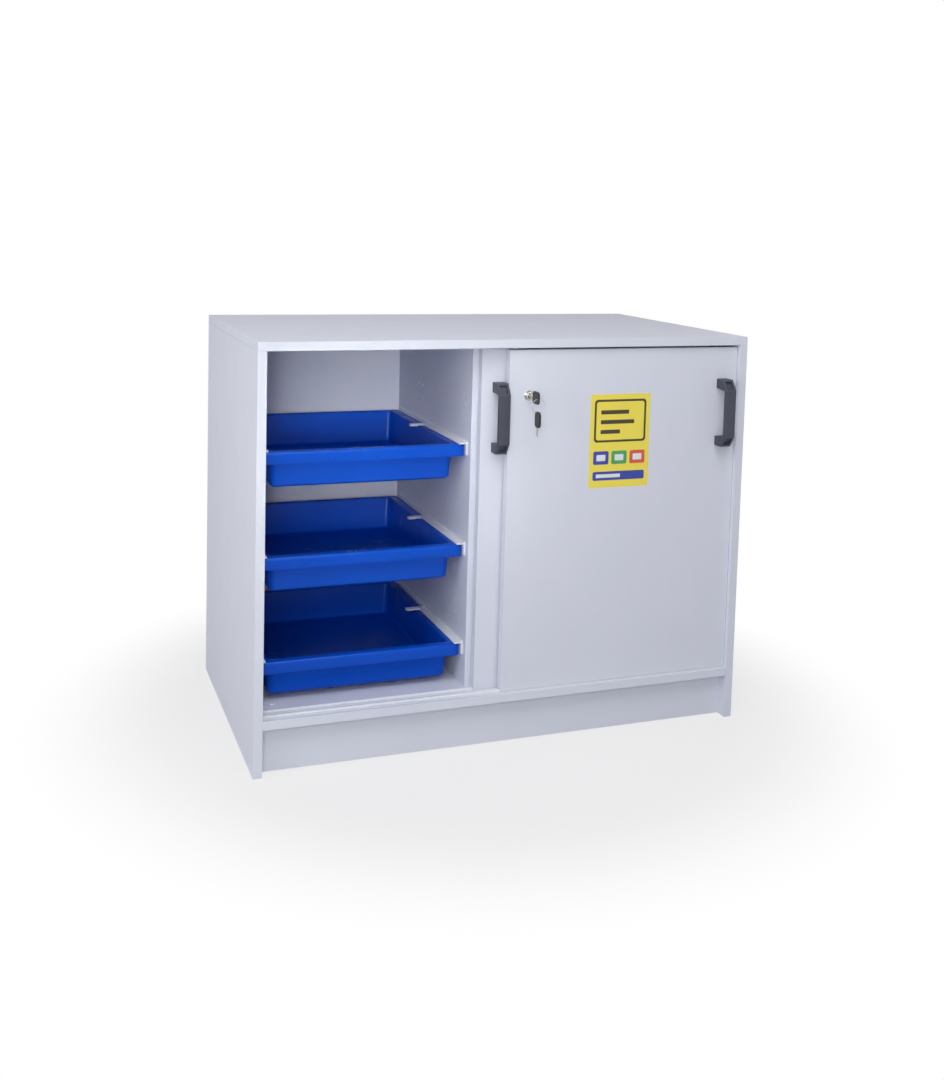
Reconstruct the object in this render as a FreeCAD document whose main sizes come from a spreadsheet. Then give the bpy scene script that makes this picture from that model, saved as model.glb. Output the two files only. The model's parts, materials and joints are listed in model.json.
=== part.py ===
import FreeCAD, Part
import math
import os
from types import SimpleNamespace

import Sketcher
from FreeCAD import Vector

# A board cabinet for acids and alkalis, with two sliding doors and retention trays that pull out on moulded
# runners. Millimetres. In the sizes below x runs from the left outer face to the right, y from the plane of the
# front edges to the back, and z up from the floor. Every sub-part is then moved so that the origin is on the floor
# in the middle of the whole object, keys and handles included.

DIMENSIONS = {
    # carcass
    "cab_width": 1130,
    "cab_depth": 650,
    "cab_height": 900,
    "board": 19,
    "base_height": 100,
    "base_depth": 619,
    "plinth_setback": 25,
    "plinth_gap": 2,
    "back_front": 600,
    # dividers between the tray compartments and the narrow middle space
    "tray_bay": 460,
    "divider_front": 60,
    "divider_back": 596,
    # rows of shelf-pin and runner holes
    "pin_radius": 2.5,
    "pin_depth": 10,
    "pin_pitch": 32,
    "pin_front": 106,
    "pin_span": 296,
    "runner_screw_radius": 2.2,
    # sliding doors: the right one runs in front of the left one
    "door_width": 565,
    "door_bottom": 120.5,
    "door_top": 876,
    "front_door_y": 10,
    "rear_door_y": 37,
    "left_door_open_x": 491.5,
    "right_door_x": 545,
    # bottom tracks, top channels, rollers and guides
    "track_width": 20,
    "track_sole": 1,
    "rib_width": 2,
    "rib_height": 4,
    "door_groove_width": 5,
    "door_groove_depth": 6,
    "channel_width": 10,
    "channel_depth": 9,
    "channel_wall": 1.2,
    "guide_inset": 55,
    "guide_length": 26,
    "guide_thick": 7.2,
    "guide_sunk": 12,
    "guide_rise": 12,
    "roller_inset": 80,
    "roller_pocket_length": 34,
    "roller_pocket_width": 14,
    "roller_pocket_depth": 25,
    "roller_roof": 2,
    "roller_end_gap": 2,
    "roller_side_gap": 0.5,
    "roller_clearance": 0.3,
    "wheel_radius": 10,
    "wheel_groove": 2,
    "wheel_groove_width": 3,
    "wheel_width": 8,
    "axle_radius": 2,
    # retention trays
    "tray_top_z": 661,
    "tray_pitch": 224,
    "tray_front_y": 80,
    "tray_width": 451,
    "tray_length": 500,
    "tray_depth": 80,
    "tray_wall": 3,
    "tray_corner": 16,
    "tub_corner": 19,
    "tub_floor_bevel": 7,
    "tray_side_rim": 21,
    "tray_front_rim": 18,
    "tray_back_rim": 14,
    "tray_taper": 5,
    "tray_lip": 8,
    "tray_front_lip": 26,
    "tray_edge_bevel": 1.5,
    # runners
    "runner_front_y": 77,
    "runner_length": 500,
    "runner_web": 4,
    "runner_height": 30,
    "runner_centre_drop": 8.5,
    "runner_screw_drop": 9,
    "runner_flange": 20,
    "runner_flange_length": 268,
    "runner_flange_thick": 3,
    "runner_flange_gap": 1,
    "ledge_width": 16,
    "ledge_thick": 3,
    "ledge_start": 23,
    "ledge_gap": 0.3,
    "hook_length": 18,
    "hook_reach": 51,
    "hook_lip": 17,
    "hook_drop": 3,
    # handles
    "handle_width": 26,
    "handle_length": 154,
    "handle_reach": 44,
    "handle_bar": 11,
    "handle_foot": 20,
    "handle_shoulder": 24,
    "handle_flat": 27.5,
    "handle_inner_slope": 5.5,
    "handle_bevel": 2.5,
    "handle_recess_width": 13,
    "handle_recess_height": 12,
    "handle_recess_start": 7,
    "handle_recess_depth": 16,
    "handle_z": 650,
    "handle_inset": 25.5,
    "handle_screw_radius": 2,
    "handle_screw_head": 4,
    # lock, its keys and their ring
    "lock_inset": 47,
    "lock_z": 777,
    "lock_flange_radius": 12,
    "lock_flange_thick": 1.5,
    "lock_body_radius": 11,
    "lock_back_wall": 3,
    "plunger_radius": 9,
    "plunger_proud": 13,
    "plunger_travel": 8,
    "bolt_radius": 4,
    "bolt_short": 0.5,
    "core_radius": 5,
    "core_length": 12,
    "core_proud": 0.4,
    "running_gap": 0.05,
    "key_reach": 46,
    "key_head_length": 34,
    "key_head_width": 27,
    "key_head_thick": 3,
    "key_blade_length": 20,
    "key_blade_width": 8,
    "key_blade_thick": 2,
    "key_hole_radius": 2.5,
    "key_hole_inset": 4.5,
    "key_corner": 8,
    "key_tooth": 2.5,
    "ring_radius": 15,
    "ring_wire": 0.8,
    "ring_gap": 0.1,
    # dowels that join the boards
    "dowel_radius": 4,
    "dowel_length": 30,
    "dowel_in_face": 12,
    "dowel_room": 1,
    "dowel_inset": 70,
    # cover caps on the floor of the tray bays
    "cap_radius": 6,
    "cap_thick": 1.5,
    "cap_inset": 36,
    "cap_y": 89,
}

# Round forms that repeat or stay out of sight are drawn with this many flats.
HOLE_FLATS = 6
SCREW_FLATS = 8
AXLE_FLATS = 12
WHEEL_FLATS = 12
RING_FLATS = 20
LOCK_FLATS = 24
CORNER_FLATS = 5

# How deep each cut of a key's blade goes, as a share of the deepest one, from the tip to the head
KEY_CUTS = (0.6, 1.0, 0.3, 0.8, 0.5)

doc = FreeCAD.newDocument("sliding_door_cabinet")
sheet = doc.addObject("Spreadsheet::Sheet", "Dims")
for row, (alias, number) in enumerate(DIMENSIONS.items(), start=1):
    sheet.set(f"A{row}", alias)
    sheet.set(f"B{row}", str(number))
    sheet.setAlias(f"B{row}", alias)
doc.recompute()


class Size:
    """A length that holds both its number and the formula in the sheet's names that gives it."""

    def __init__(self, number, formula=None):
        self.number = float(number)
        self.formula = formula or repr(self.number)

    def _join(self, sign, other, number, swapped=False):
        """A new size from this one and another, with both formulas joined by the sign."""
        left, right = (other, self) if swapped else (self, other)
        return Size(number, f"({left.formula} {sign} {right.formula})")

    def __add__(self, other):
        other = as_size(other)
        return self._join("+", other, self.number + other.number)

    __radd__ = __add__

    def __sub__(self, other):
        other = as_size(other)
        return self._join("-", other, self.number - other.number)

    def __rsub__(self, other):
        other = as_size(other)
        return self._join("-", other, other.number - self.number, swapped=True)

    def __mul__(self, other):
        other = as_size(other)
        return self._join("*", other, self.number * other.number)

    __rmul__ = __mul__

    def __truediv__(self, other):
        other = as_size(other)
        return self._join("/", other, self.number / other.number)


def as_size(value):
    """Any number or size as a size."""
    return value if isinstance(value, Size) else Size(value)


d = SimpleNamespace(**{alias: Size(number, f"Dims.{alias}") for alias, number in DIMENSIONS.items()})

TOUCH = 0.01

subparts = []
cuts = []


def bind(thing, prop, size):
    """Ties one property of an object to the sheet."""
    thing.setExpression(prop, as_size(size).formula)


# The spare key hangs furthest forward, so the object reaches this far in front of the cabinet's front edges.
front_reach = d.key_reach - d.key_hole_inset + d.key_head_width / 2


def place(thing, x, y, z):
    """Puts an object at cabinet coordinates, seen from the origin on the floor under its middle."""
    bind(thing, "Placement.Base.x", x - d.cab_width / 2)
    bind(thing, "Placement.Base.y", y - (d.cab_depth - front_reach) / 2)
    bind(thing, "Placement.Base.z", z)


def new_body(label, x, y, z, several=False):
    """An empty body with its label and place; several allows a group of separate solids."""
    body = doc.addObject("PartDesign::Body", label)
    body.Label = label
    body.AllowCompound = several
    place(body, x, y, z)
    subparts.append(body)
    return body


def origin_feature(body, role):
    """One of the body's own planes or axes."""
    return next(item for item in body.Origin.OriginFeatures if item.Role == role)


def new_sketch(body, plane, offset=0):
    """A sketch on one of the body's planes, moved along that plane's normal."""
    sketch = body.newObject("Sketcher::SketchObject", "Sketch")
    sketch.AttachmentSupport = [(origin_feature(body, plane), "")]
    sketch.MapMode = "FlatFace"
    bind(sketch, "AttachmentOffset.Base.z", offset)
    return sketch


def fix(sketch, kind, element, point, size):
    """Ties one coordinate of a sketch point to the sheet, or puts the point on the axis when it is zero."""
    size = as_size(size)
    if size.number == 0:
        axis = -2 if kind == "DistanceX" else -1
        sketch.addConstraint(Sketcher.Constraint("PointOnObject", element, point, axis))
        return
    index = sketch.addConstraint(Sketcher.Constraint(kind, -1, 1, element, point, size.number))
    sketch.setExpression(f"Constraints[{index}]", size.formula)


def outline(sketch, corners):
    """A closed outline of straight lines with every corner tied to the sheet."""
    first = sketch.GeometryCount
    points = [Vector(as_size(u).number, as_size(v).number, 0) for u, v in corners]
    for i, point in enumerate(points):
        sketch.addGeometry(Part.LineSegment(point, points[(i + 1) % len(points)]), False)
    for i, (u, v) in enumerate(corners):
        following = first + (i + 1) % len(points)
        sketch.addConstraint(Sketcher.Constraint("Coincident", first + i, 2, following, 1))
        fix(sketch, "DistanceX", first + i, 1, u)
        fix(sketch, "DistanceY", first + i, 1, v)


def rectangle(sketch, u, v, width, height):
    """A rectangle from its lower left corner and its two sizes."""
    outline(sketch, [(u, v), (u + width, v), (u + width, v + height), (u, v + height)])


def polygon(sketch, u, v, radius, sides):
    """A small drilled hole or a shank as a polygon with few sides, which keeps repeated holes light."""
    turns = [2 * math.pi * (i + 0.5) / sides for i in range(sides)]
    outline(sketch, [(u + radius * math.cos(turn), v + radius * math.sin(turn)) for turn in turns])


def circle(sketch, u, v, radius):
    """A circle with its centre and its radius tied to the sheet."""
    u, v, radius = as_size(u), as_size(v), as_size(radius)
    index = sketch.addGeometry(Part.Circle(Vector(u.number, v.number, 0), Vector(0, 0, 1), radius.number), False)
    constraint = sketch.addConstraint(Sketcher.Constraint("Radius", index, radius.number))
    sketch.setExpression(f"Constraints[{constraint}]", radius.formula)
    fix(sketch, "DistanceX", index, 3, u)
    fix(sketch, "DistanceY", index, 3, v)


def soft_corners(u, v, width, height, radius):
    """Outline points of a rectangle, from its lower left corner and its sizes, with corners of short flats."""
    step = math.pi / 2 / CORNER_FLATS
    reach = radius / math.cos(step / 2)
    near_u, far_u, near_v, far_v = u + radius, u + width - radius, v + radius, v + height - radius
    points = []
    for quarter, (cu, cv) in enumerate(((far_u, near_v), (far_u, far_v), (near_u, far_v), (near_u, near_v))):
        for flat in range(CORNER_FLATS):
            turn = (quarter - 1) * math.pi / 2 + (flat + 0.5) * step
            points.append((cu + reach * math.cos(turn), cv + reach * math.sin(turn)))
    return points


def pad(body, sketch, length, reverse=False):
    """Material from a sketch, along its normal or against it."""
    feature = body.newObject("PartDesign::Pad", "Pad")
    feature.Profile = sketch
    bind(feature, "Length", length)
    feature.Reversed = reverse
    return feature


def pocket(body, sketch, depth, reverse=False):
    """A cut from a sketch; without reverse it runs against the sketch's normal."""
    feature = body.newObject("PartDesign::Pocket", "Pocket")
    feature.Profile = sketch
    bind(feature, "Length", depth)
    feature.Reversed = reverse
    cuts.append(feature)
    return feature


def repeat(body, features, *rows):
    """Repeats features along rows, each an axis of the body, a pitch and a count."""
    patterns = []
    for axis, pitch, count in rows:
        pattern = body.newObject("PartDesign::LinearPattern", "Row")
        pattern.Direction = (origin_feature(body, axis), [""])
        pattern.Occurrences = count
        bind(pattern, "Length", pitch * (count - 1))
        patterns.append(pattern)
    if len(patterns) == 1:
        patterns[0].Originals = list(features)
        body.Tip = patterns[0]
        return patterns[0]
    field = body.newObject("PartDesign::MultiTransform", "Field")
    field.Originals = list(features)
    field.Transformations = patterns
    body.Tip = field
    return field


def repeat_whole(body, *rows):
    """Repeats all of a body along rows, which leaves a group of separate solids."""
    for axis, pitch, count in rows:
        pattern = body.newObject("PartDesign::LinearPattern", "Row")
        pattern.TransformMode = "Whole shape"
        pattern.Direction = (origin_feature(body, axis), [""])
        pattern.Occurrences = count
        bind(pattern, "Length", pitch * (count - 1))
        body.Tip = pattern


def names_of(kind, pieces, test):
    """Names of the edges or faces that pass a test, such as Edge3."""
    return [f"{kind}{index}" for index, piece in enumerate(pieces, start=1) if test(piece)]


def lies_at(piece, height):
    """Whether an edge or a face lies flat at a height."""
    return all(abs(vertex.Z - height.number) < TOUCH for vertex in piece.Vertexes)


def chamfer(body, base, edges, size):
    """Bevels edges of the body's last feature."""
    feature = body.newObject("PartDesign::Chamfer", "Chamfer")
    feature.Base = (base, edges)
    bind(feature, "Size", size)
    return feature


def board(label, x, y, z, width, depth, height):
    """A plain board: a rectangle on the floor plane raised to its height."""
    body = new_body(label, x, y, z)
    sketch = new_sketch(body, "XY_Plane")
    rectangle(sketch, 0, 0, width, depth)
    pad(body, sketch, height)
    return body


# Levels and edges that several sub-parts share
inner_right = d.cab_width - d.board
base_top = d.base_height + d.board
carcass_top = d.cab_height - d.board
inner_width = d.cab_width - 2 * d.board
left_divider_x = d.board + d.tray_bay
right_divider_x = inner_right - d.tray_bay - d.board
divider_depth = d.divider_back - d.divider_front
front_door_middle = d.front_door_y + d.board / 2
rear_door_middle = d.rear_door_y + d.board / 2
runner_middle = d.tray_top_z - d.runner_centre_drop
lowest_runner = runner_middle - 2 * d.tray_pitch
lowest_screws = lowest_runner - d.runner_screw_drop
tray_levels = {"top": 0, "middle": 1, "bottom": 2}
base_middle = d.base_height + d.board / 2
dowel_in_edge = d.dowel_length - d.dowel_in_face
side_dowel_ys = (d.dowel_inset, d.cab_depth / 2, d.cab_depth - d.dowel_inset)
base_dowel_ys = (d.dowel_inset, d.base_depth / 2, d.base_depth - d.dowel_inset)
divider_dowel_ys = (d.divider_front + d.dowel_inset, d.divider_back - d.dowel_inset)
side_dowels = [(x, y) for x in (d.board / 2, inner_right + d.board / 2) for y in side_dowel_ys]
divider_dowels = [(x + d.board / 2, y) for x in (left_divider_x, right_divider_x) for y in divider_dowel_ys]
ring_reach = d.ring_radius * math.cos(math.pi / RING_FLATS)


def drill_runner_side(body, face_x, front_y, bottom_z, from_left):
    """Drills the shelf-pin holes and the runner screw holes into one face of an upright board."""
    pins = new_sketch(body, "YZ_Plane", face_x)
    polygon(pins, d.pin_front - front_y, lowest_runner + 2 * d.pin_pitch - bottom_z, d.pin_radius, HOLE_FLATS)
    pin = pocket(body, pins, d.pin_depth, reverse=from_left)
    repeat(
        body,
        (pin,),
        ("Y_Axis", d.pin_pitch, 2),
        ("Y_Axis", d.pin_span, 2),
        ("Z_Axis", d.pin_pitch, 2),
        ("Z_Axis", d.tray_pitch, 3),
    )
    screws = new_sketch(body, "YZ_Plane", face_x)
    polygon(screws, d.pin_front + d.pin_pitch - front_y, lowest_screws - bottom_z, d.runner_screw_radius, HOLE_FLATS)
    screw = pocket(body, screws, d.pin_depth, reverse=from_left)
    repeat(body, (screw,), ("Y_Axis", d.pin_span - d.pin_pitch, 2), ("Z_Axis", d.tray_pitch, 3))


def dowel_holes(body, plane, plane_at, centres, depth, reverse):
    """Drills dowel holes, a little deeper than the dowels reach, into one face of a board."""
    holes = new_sketch(body, plane, plane_at)
    for u, v in centres:
        polygon(holes, u, v, d.dowel_radius + d.running_gap, HOLE_FLATS)
    pocket(body, holes, depth + d.dowel_room, reverse=reverse)


def make_dowels():
    """Wood dowels, half in a face and half in an edge, that join the uprights to the top and base."""
    upright = new_body("upright_dowels", 0, 0, 0, several=True)
    for level, centres in (
        (carcass_top - dowel_in_edge, side_dowels + divider_dowels),
        (base_top - d.dowel_in_face, divider_dowels),
    ):
        plan = new_sketch(upright, "XY_Plane", level)
        for x, y in centres:
            polygon(plan, x, y, d.dowel_radius, HOLE_FLATS)
        pad(upright, plan, d.dowel_length)
    flat = new_body("level_dowels", 0, 0, base_middle, several=True)
    for start in (d.board - d.dowel_in_face, inner_right - dowel_in_edge):
        section = new_sketch(flat, "YZ_Plane", start)
        for y in base_dowel_ys:
            polygon(section, y, 0, d.dowel_radius, HOLE_FLATS)
        pad(flat, section, d.dowel_length)


def make_carcass():
    """The boards: top over the sides, base between them, two dividers, back and plinths."""
    top = board("top_panel", 0, 0, carcass_top, d.cab_width, d.cab_depth, d.board)
    for middle in (front_door_middle, rear_door_middle):
        groove = new_sketch(top, "XY_Plane")
        rectangle(groove, d.board, middle - d.channel_width / 2, inner_width, d.channel_width)
        pocket(top, groove, d.channel_depth, reverse=True)
    dowel_holes(top, "XY_Plane", 0, side_dowels + divider_dowels, d.dowel_in_face, reverse=True)
    half = d.board / 2
    for name, x, face_x, is_right in (("left", 0, d.board, False), ("right", inner_right, 0, True)):
        side = board(f"{name}_side_panel", x, 0, 0, d.board, d.cab_depth, carcass_top)
        drill_runner_side(side, face_x, 0, 0, from_left=is_right)
        dowel_holes(side, "XY_Plane", carcass_top, [(half, y) for y in side_dowel_ys], dowel_in_edge, reverse=False)
        at_base = [(y, base_middle) for y in base_dowel_ys]
        dowel_holes(side, "YZ_Plane", face_x, at_base, d.dowel_in_face, reverse=is_right)
    base = board("base_panel", d.board, 0, d.base_height, inner_width, d.base_depth, d.board)
    under_dividers = [(x - d.board, y) for x, y in divider_dowels]
    dowel_holes(base, "XY_Plane", d.board, under_dividers, d.dowel_in_face, reverse=False)
    for end, is_left in ((0, True), (inner_width, False)):
        dowel_holes(base, "YZ_Plane", end, [(y, half) for y in base_dowel_ys], dowel_in_edge, reverse=is_left)
    board("back_panel", d.board, d.back_front, base_top, inner_width, d.board, carcass_top - base_top)
    plinth_height = d.base_height - d.plinth_gap
    board("plinth_front", d.board, d.plinth_setback, d.plinth_gap, inner_width, d.board, plinth_height)
    board("plinth_rear", d.board, d.back_front, d.plinth_gap, inner_width, d.board, plinth_height)
    divider_height = carcass_top - base_top
    for name, x, face_x, is_left in (("left", left_divider_x, 0, True), ("right", right_divider_x, d.board, False)):
        divider = board(f"{name}_divider", x, d.divider_front, base_top, d.board, divider_depth, divider_height)
        drill_runner_side(divider, face_x, d.divider_front, base_top, from_left=is_left)
        ends = [(half, y - d.divider_front) for y in divider_dowel_ys]
        dowel_holes(divider, "XY_Plane", divider_height, ends, dowel_in_edge, reverse=False)
        dowel_holes(divider, "XY_Plane", 0, ends, dowel_in_edge, reverse=True)


def make_tracks():
    """Bottom tracks with a running rib and top channels let into the top panel, one of each per door."""
    for name, middle in (("front", front_door_middle), ("rear", rear_door_middle)):
        track = new_body(f"bottom_track_{name}", d.board, middle, base_top)
        section = new_sketch(track, "YZ_Plane")
        sole, rib = d.track_width / 2, d.rib_width / 2
        rib_top = d.track_sole + d.rib_height
        outline(
            section,
            [
                (-1 * sole, 0),
                (sole, 0),
                (sole, d.track_sole),
                (rib, d.track_sole),
                (rib, rib_top),
                (-1 * rib, rib_top),
                (-1 * rib, d.track_sole),
                (-1 * sole, d.track_sole),
            ],
        )
        pad(track, section, inner_width)
        channel = new_body(f"top_channel_{name}", d.board, middle, carcass_top)
        section = new_sketch(channel, "YZ_Plane")
        half, inner = d.channel_width / 2, d.channel_width / 2 - d.channel_wall
        roof = d.channel_depth - d.channel_wall
        outline(
            section,
            [
                (-1 * half, 0),
                (-1 * inner, 0),
                (-1 * inner, roof),
                (inner, roof),
                (inner, 0),
                (half, 0),
                (half, d.channel_depth),
                (-1 * half, d.channel_depth),
            ],
        )
        pad(channel, section, inner_width)


def door_board(label, x, y):
    """A door leaf with its running groove, roller pockets, guide pockets and handle screw holes."""
    height = d.door_top - d.door_bottom
    leaf = board(label, x, y, d.door_bottom, d.door_width, d.board, height)
    groove = new_sketch(leaf, "XY_Plane")
    rectangle(groove, 0, (d.board - d.door_groove_width) / 2, d.door_width, d.door_groove_width)
    pocket(leaf, groove, d.door_groove_depth, reverse=True)
    rollers = new_sketch(leaf, "XY_Plane")
    for inset in (d.roller_inset, d.door_width - d.roller_inset):
        rectangle(
            rollers,
            inset - d.roller_pocket_length / 2,
            (d.board - d.roller_pocket_width) / 2,
            d.roller_pocket_length,
            d.roller_pocket_width,
        )
    pocket(leaf, rollers, d.roller_pocket_depth, reverse=True)
    guides = new_sketch(leaf, "XY_Plane", height)
    for inset in (d.guide_inset, d.door_width - d.guide_inset):
        rectangle(
            guides, inset - d.guide_length / 2, (d.board - d.guide_thick) / 2, d.guide_length, d.guide_thick
        )
    pocket(leaf, guides, d.guide_sunk)
    return leaf


def make_door(side, x, y, handle_x, with_lock):
    """One door with its handle, handle screws, rollers, roller housings and top guides."""
    leaf = door_board(f"{side}_door", x, y)
    screw_holes = new_sketch(leaf, "XZ_Plane")
    for height in (d.handle_foot / 2, d.handle_length - d.handle_foot / 2):
        polygon(screw_holes, handle_x - x, d.handle_z + height - d.door_bottom, d.handle_screw_radius, SCREW_FLATS)
    pocket(leaf, screw_holes, d.board)
    if with_lock:
        lock_hole = new_sketch(leaf, "XZ_Plane")
        polygon(lock_hole, d.lock_inset, d.lock_z - d.door_bottom, d.lock_body_radius, LOCK_FLATS)
        pocket(leaf, lock_hole, d.board)
    make_handle(side, handle_x, y)
    make_guides(side, x, y)
    make_rollers(side, x, y)


def make_handle(side, x, y):
    """A moulded bow handle: its side section carried across its width, with a sunk pocket in each shoulder."""
    handle = new_body(f"{side}_handle", x, y, d.handle_z)
    section = new_sketch(handle, "YZ_Plane", -1 * d.handle_width / 2)
    reach, foot, shoulder, length = d.handle_reach, d.handle_foot, d.handle_shoulder, d.handle_length
    inside = d.handle_bar - reach
    outline(
        section,
        [
            (0, 0),
            (0, foot),
            (inside, foot + d.handle_inner_slope),
            (inside, length - foot - d.handle_inner_slope),
            (0, length - foot),
            (0, length),
            (-1 * d.handle_flat, length),
            (-1 * reach, length - shoulder),
            (-1 * reach, shoulder),
            (-1 * d.handle_flat, 0),
        ],
    )
    solid = pad(handle, section, d.handle_width)
    doc.recompute()
    front = names_of(
        "Edge",
        solid.Shape.Edges,
        lambda edge: abs(edge.CenterOfMass.y + reach.number) < TOUCH
        and abs(abs(edge.CenterOfMass.x) - d.handle_width.number / 2) < TOUCH,
    )
    chamfer(handle, solid, front, d.handle_bevel)
    recess = new_sketch(handle, "XZ_Plane", reach)
    wide, high = d.handle_recess_width, d.handle_recess_height
    for low in (d.handle_recess_start, length - d.handle_recess_start - high):
        rectangle(recess, -1 * wide / 2, low, wide, high)
    pocket(handle, recess, d.handle_recess_depth)
    screws = new_body(f"{side}_handle_screws", x, y, d.handle_z + d.handle_foot / 2, several=True)
    shank = new_sketch(screws, "XZ_Plane", -1 * d.board)
    polygon(shank, 0, 0, d.handle_screw_radius, SCREW_FLATS)
    pad(screws, shank, d.board)
    head = new_sketch(screws, "XZ_Plane", -1 * d.board)
    polygon(head, 0, 0, d.handle_screw_head, SCREW_FLATS)
    pad(screws, head, d.handle_screw_radius, reverse=True)
    repeat_whole(screws, ("Z_Axis", d.handle_length - d.handle_foot, 2))


def make_guides(side, x, y):
    """Two flat guides let into the top edge of a door, which run in the channel above."""
    guides = new_body(f"{side}_door_guides", x + d.guide_inset, y + d.board / 2, d.door_top, several=True)
    plan = new_sketch(guides, "XY_Plane", -1 * d.guide_sunk)
    rectangle(plan, -1 * d.guide_length / 2, -1 * d.guide_thick / 2, d.guide_length, d.guide_thick)
    guide = pad(guides, plan, d.guide_sunk + d.guide_rise)
    repeat(guides, (guide,), ("X_Axis", d.door_width - 2 * d.guide_inset, 2))


def make_rollers(side, x, y):
    """Two roller housings in the bottom edge of a door, each with a grooved wheel on its axle pin."""
    axle_z = base_top + d.track_sole + d.rib_height + d.wheel_radius - d.wheel_groove + d.roller_clearance
    span = d.door_width - 2 * d.roller_inset
    length, width, depth = d.roller_pocket_length, d.roller_pocket_width, d.roller_pocket_depth
    housings = new_body(f"{side}_roller_housings", x + d.roller_inset, y + d.board / 2, d.door_bottom, several=True)
    plan = new_sketch(housings, "XY_Plane")
    rectangle(plan, -1 * length / 2, -1 * width / 2, length, width)
    pad(housings, plan, depth)
    slot = new_sketch(housings, "XY_Plane")
    slot_length = 2 * (d.wheel_radius + d.roller_end_gap)
    slot_width = d.wheel_width + 2 * d.roller_side_gap
    rectangle(slot, -1 * slot_length / 2, -1 * slot_width / 2, slot_length, slot_width)
    pocket(housings, slot, depth - d.roller_roof, reverse=True)
    groove = new_sketch(housings, "XY_Plane")
    rectangle(groove, -1 * length / 2, -1 * d.door_groove_width / 2, length, d.door_groove_width)
    pocket(housings, groove, d.door_groove_depth, reverse=True)
    axle_hole = new_sketch(housings, "XZ_Plane", width / 2)
    polygon(axle_hole, 0, axle_z - d.door_bottom, d.axle_radius, AXLE_FLATS)
    pocket(housings, axle_hole, width)
    repeat_whole(housings, ("X_Axis", span, 2))

    axles = new_body(f"{side}_roller_axles", x + d.roller_inset, y + d.board / 2, axle_z, several=True)
    pin = new_sketch(axles, "XZ_Plane", width / 2)
    polygon(pin, 0, 0, d.axle_radius, AXLE_FLATS)
    axle = pad(axles, pin, width, reverse=True)
    repeat(axles, (axle,), ("X_Axis", span, 2))

    half, groove_half = d.wheel_width / 2, d.wheel_groove_width / 2
    for name, inset in (("left", d.roller_inset), ("right", d.door_width - d.roller_inset)):
        wheel = new_body(f"{side}_door_{name}_wheel", x + inset, y + d.board / 2, axle_z)
        for outer, radius, thick in (
            (half, d.wheel_radius - d.wheel_groove, d.wheel_width),
            (half, d.wheel_radius, half - groove_half),
            (-1 * groove_half, d.wheel_radius, half - groove_half),
        ):
            disc = new_sketch(wheel, "XZ_Plane", outer)
            polygon(disc, 0, 0, radius, WHEEL_FLATS)
            pad(wheel, disc, thick, reverse=True)
        bore = new_sketch(wheel, "XZ_Plane", half)
        circle(bore, 0, 0, d.axle_radius + d.running_gap)
        pocket(wheel, bore, d.wheel_width)


def round_step(body, radius, start, length, flats):
    """A round length of a lock part along Y, from its start."""
    disc = new_sketch(body, "XZ_Plane", -1 * start)
    polygon(disc, 0, 0, radius, flats)
    return pad(body, disc, length, reverse=True)


def round_bore(body, radius, start, depth, flats=None):
    """A bore along Y from its start, truly round unless it has flats."""
    hole = new_sketch(body, "XZ_Plane", -1 * start)
    if flats:
        polygon(hole, 0, 0, radius, flats)
    else:
        circle(hole, 0, 0, radius)
    return pocket(body, hole, depth)


def make_lock():
    """A push lock in the front door: housing, plunger with its bolt, and the core that the key turns."""
    x, face = d.right_door_x + d.lock_inset, d.front_door_y
    chamber = d.board - d.lock_back_wall
    housing = new_body("lock_housing", x, face, d.lock_z)
    round_step(housing, d.lock_flange_radius, -1 * d.lock_flange_thick, d.lock_flange_thick, LOCK_FLATS)
    round_step(housing, d.lock_body_radius, 0, d.board, LOCK_FLATS)
    front = -1 * d.lock_flange_thick
    round_bore(housing, d.plunger_radius + d.running_gap, front, chamber - front, LOCK_FLATS)
    round_bore(housing, d.bolt_radius + d.running_gap, chamber, d.lock_back_wall, AXLE_FLATS)

    plunger = new_body("lock_plunger", x, face, d.lock_z)
    shoulder = chamber - d.plunger_travel
    nose = -1 * d.plunger_proud
    round_step(plunger, d.plunger_radius, nose, shoulder - nose, LOCK_FLATS)
    round_step(plunger, d.bolt_radius, shoulder, d.board - d.bolt_short - shoulder, AXLE_FLATS)
    core_room = d.core_length - d.core_proud + d.running_gap
    round_bore(plunger, d.core_radius + d.running_gap, nose, core_room)

    core_front = nose - d.core_proud
    core = new_body("lock_core", x, face + core_front, d.lock_z)
    disc = new_sketch(core, "XZ_Plane")
    circle(disc, 0, 0, d.core_radius)
    pad(core, disc, d.core_length, reverse=True)
    slot = new_sketch(core, "XZ_Plane")
    wide, high = d.key_blade_thick, d.key_blade_width
    rectangle(slot, -1 * wide / 2, -1 * high / 2, wide, high)
    blade_in = d.key_blade_length - (d.key_reach + d.front_door_y + core_front - d.key_head_length)
    pocket(core, slot, blade_in)


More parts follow.
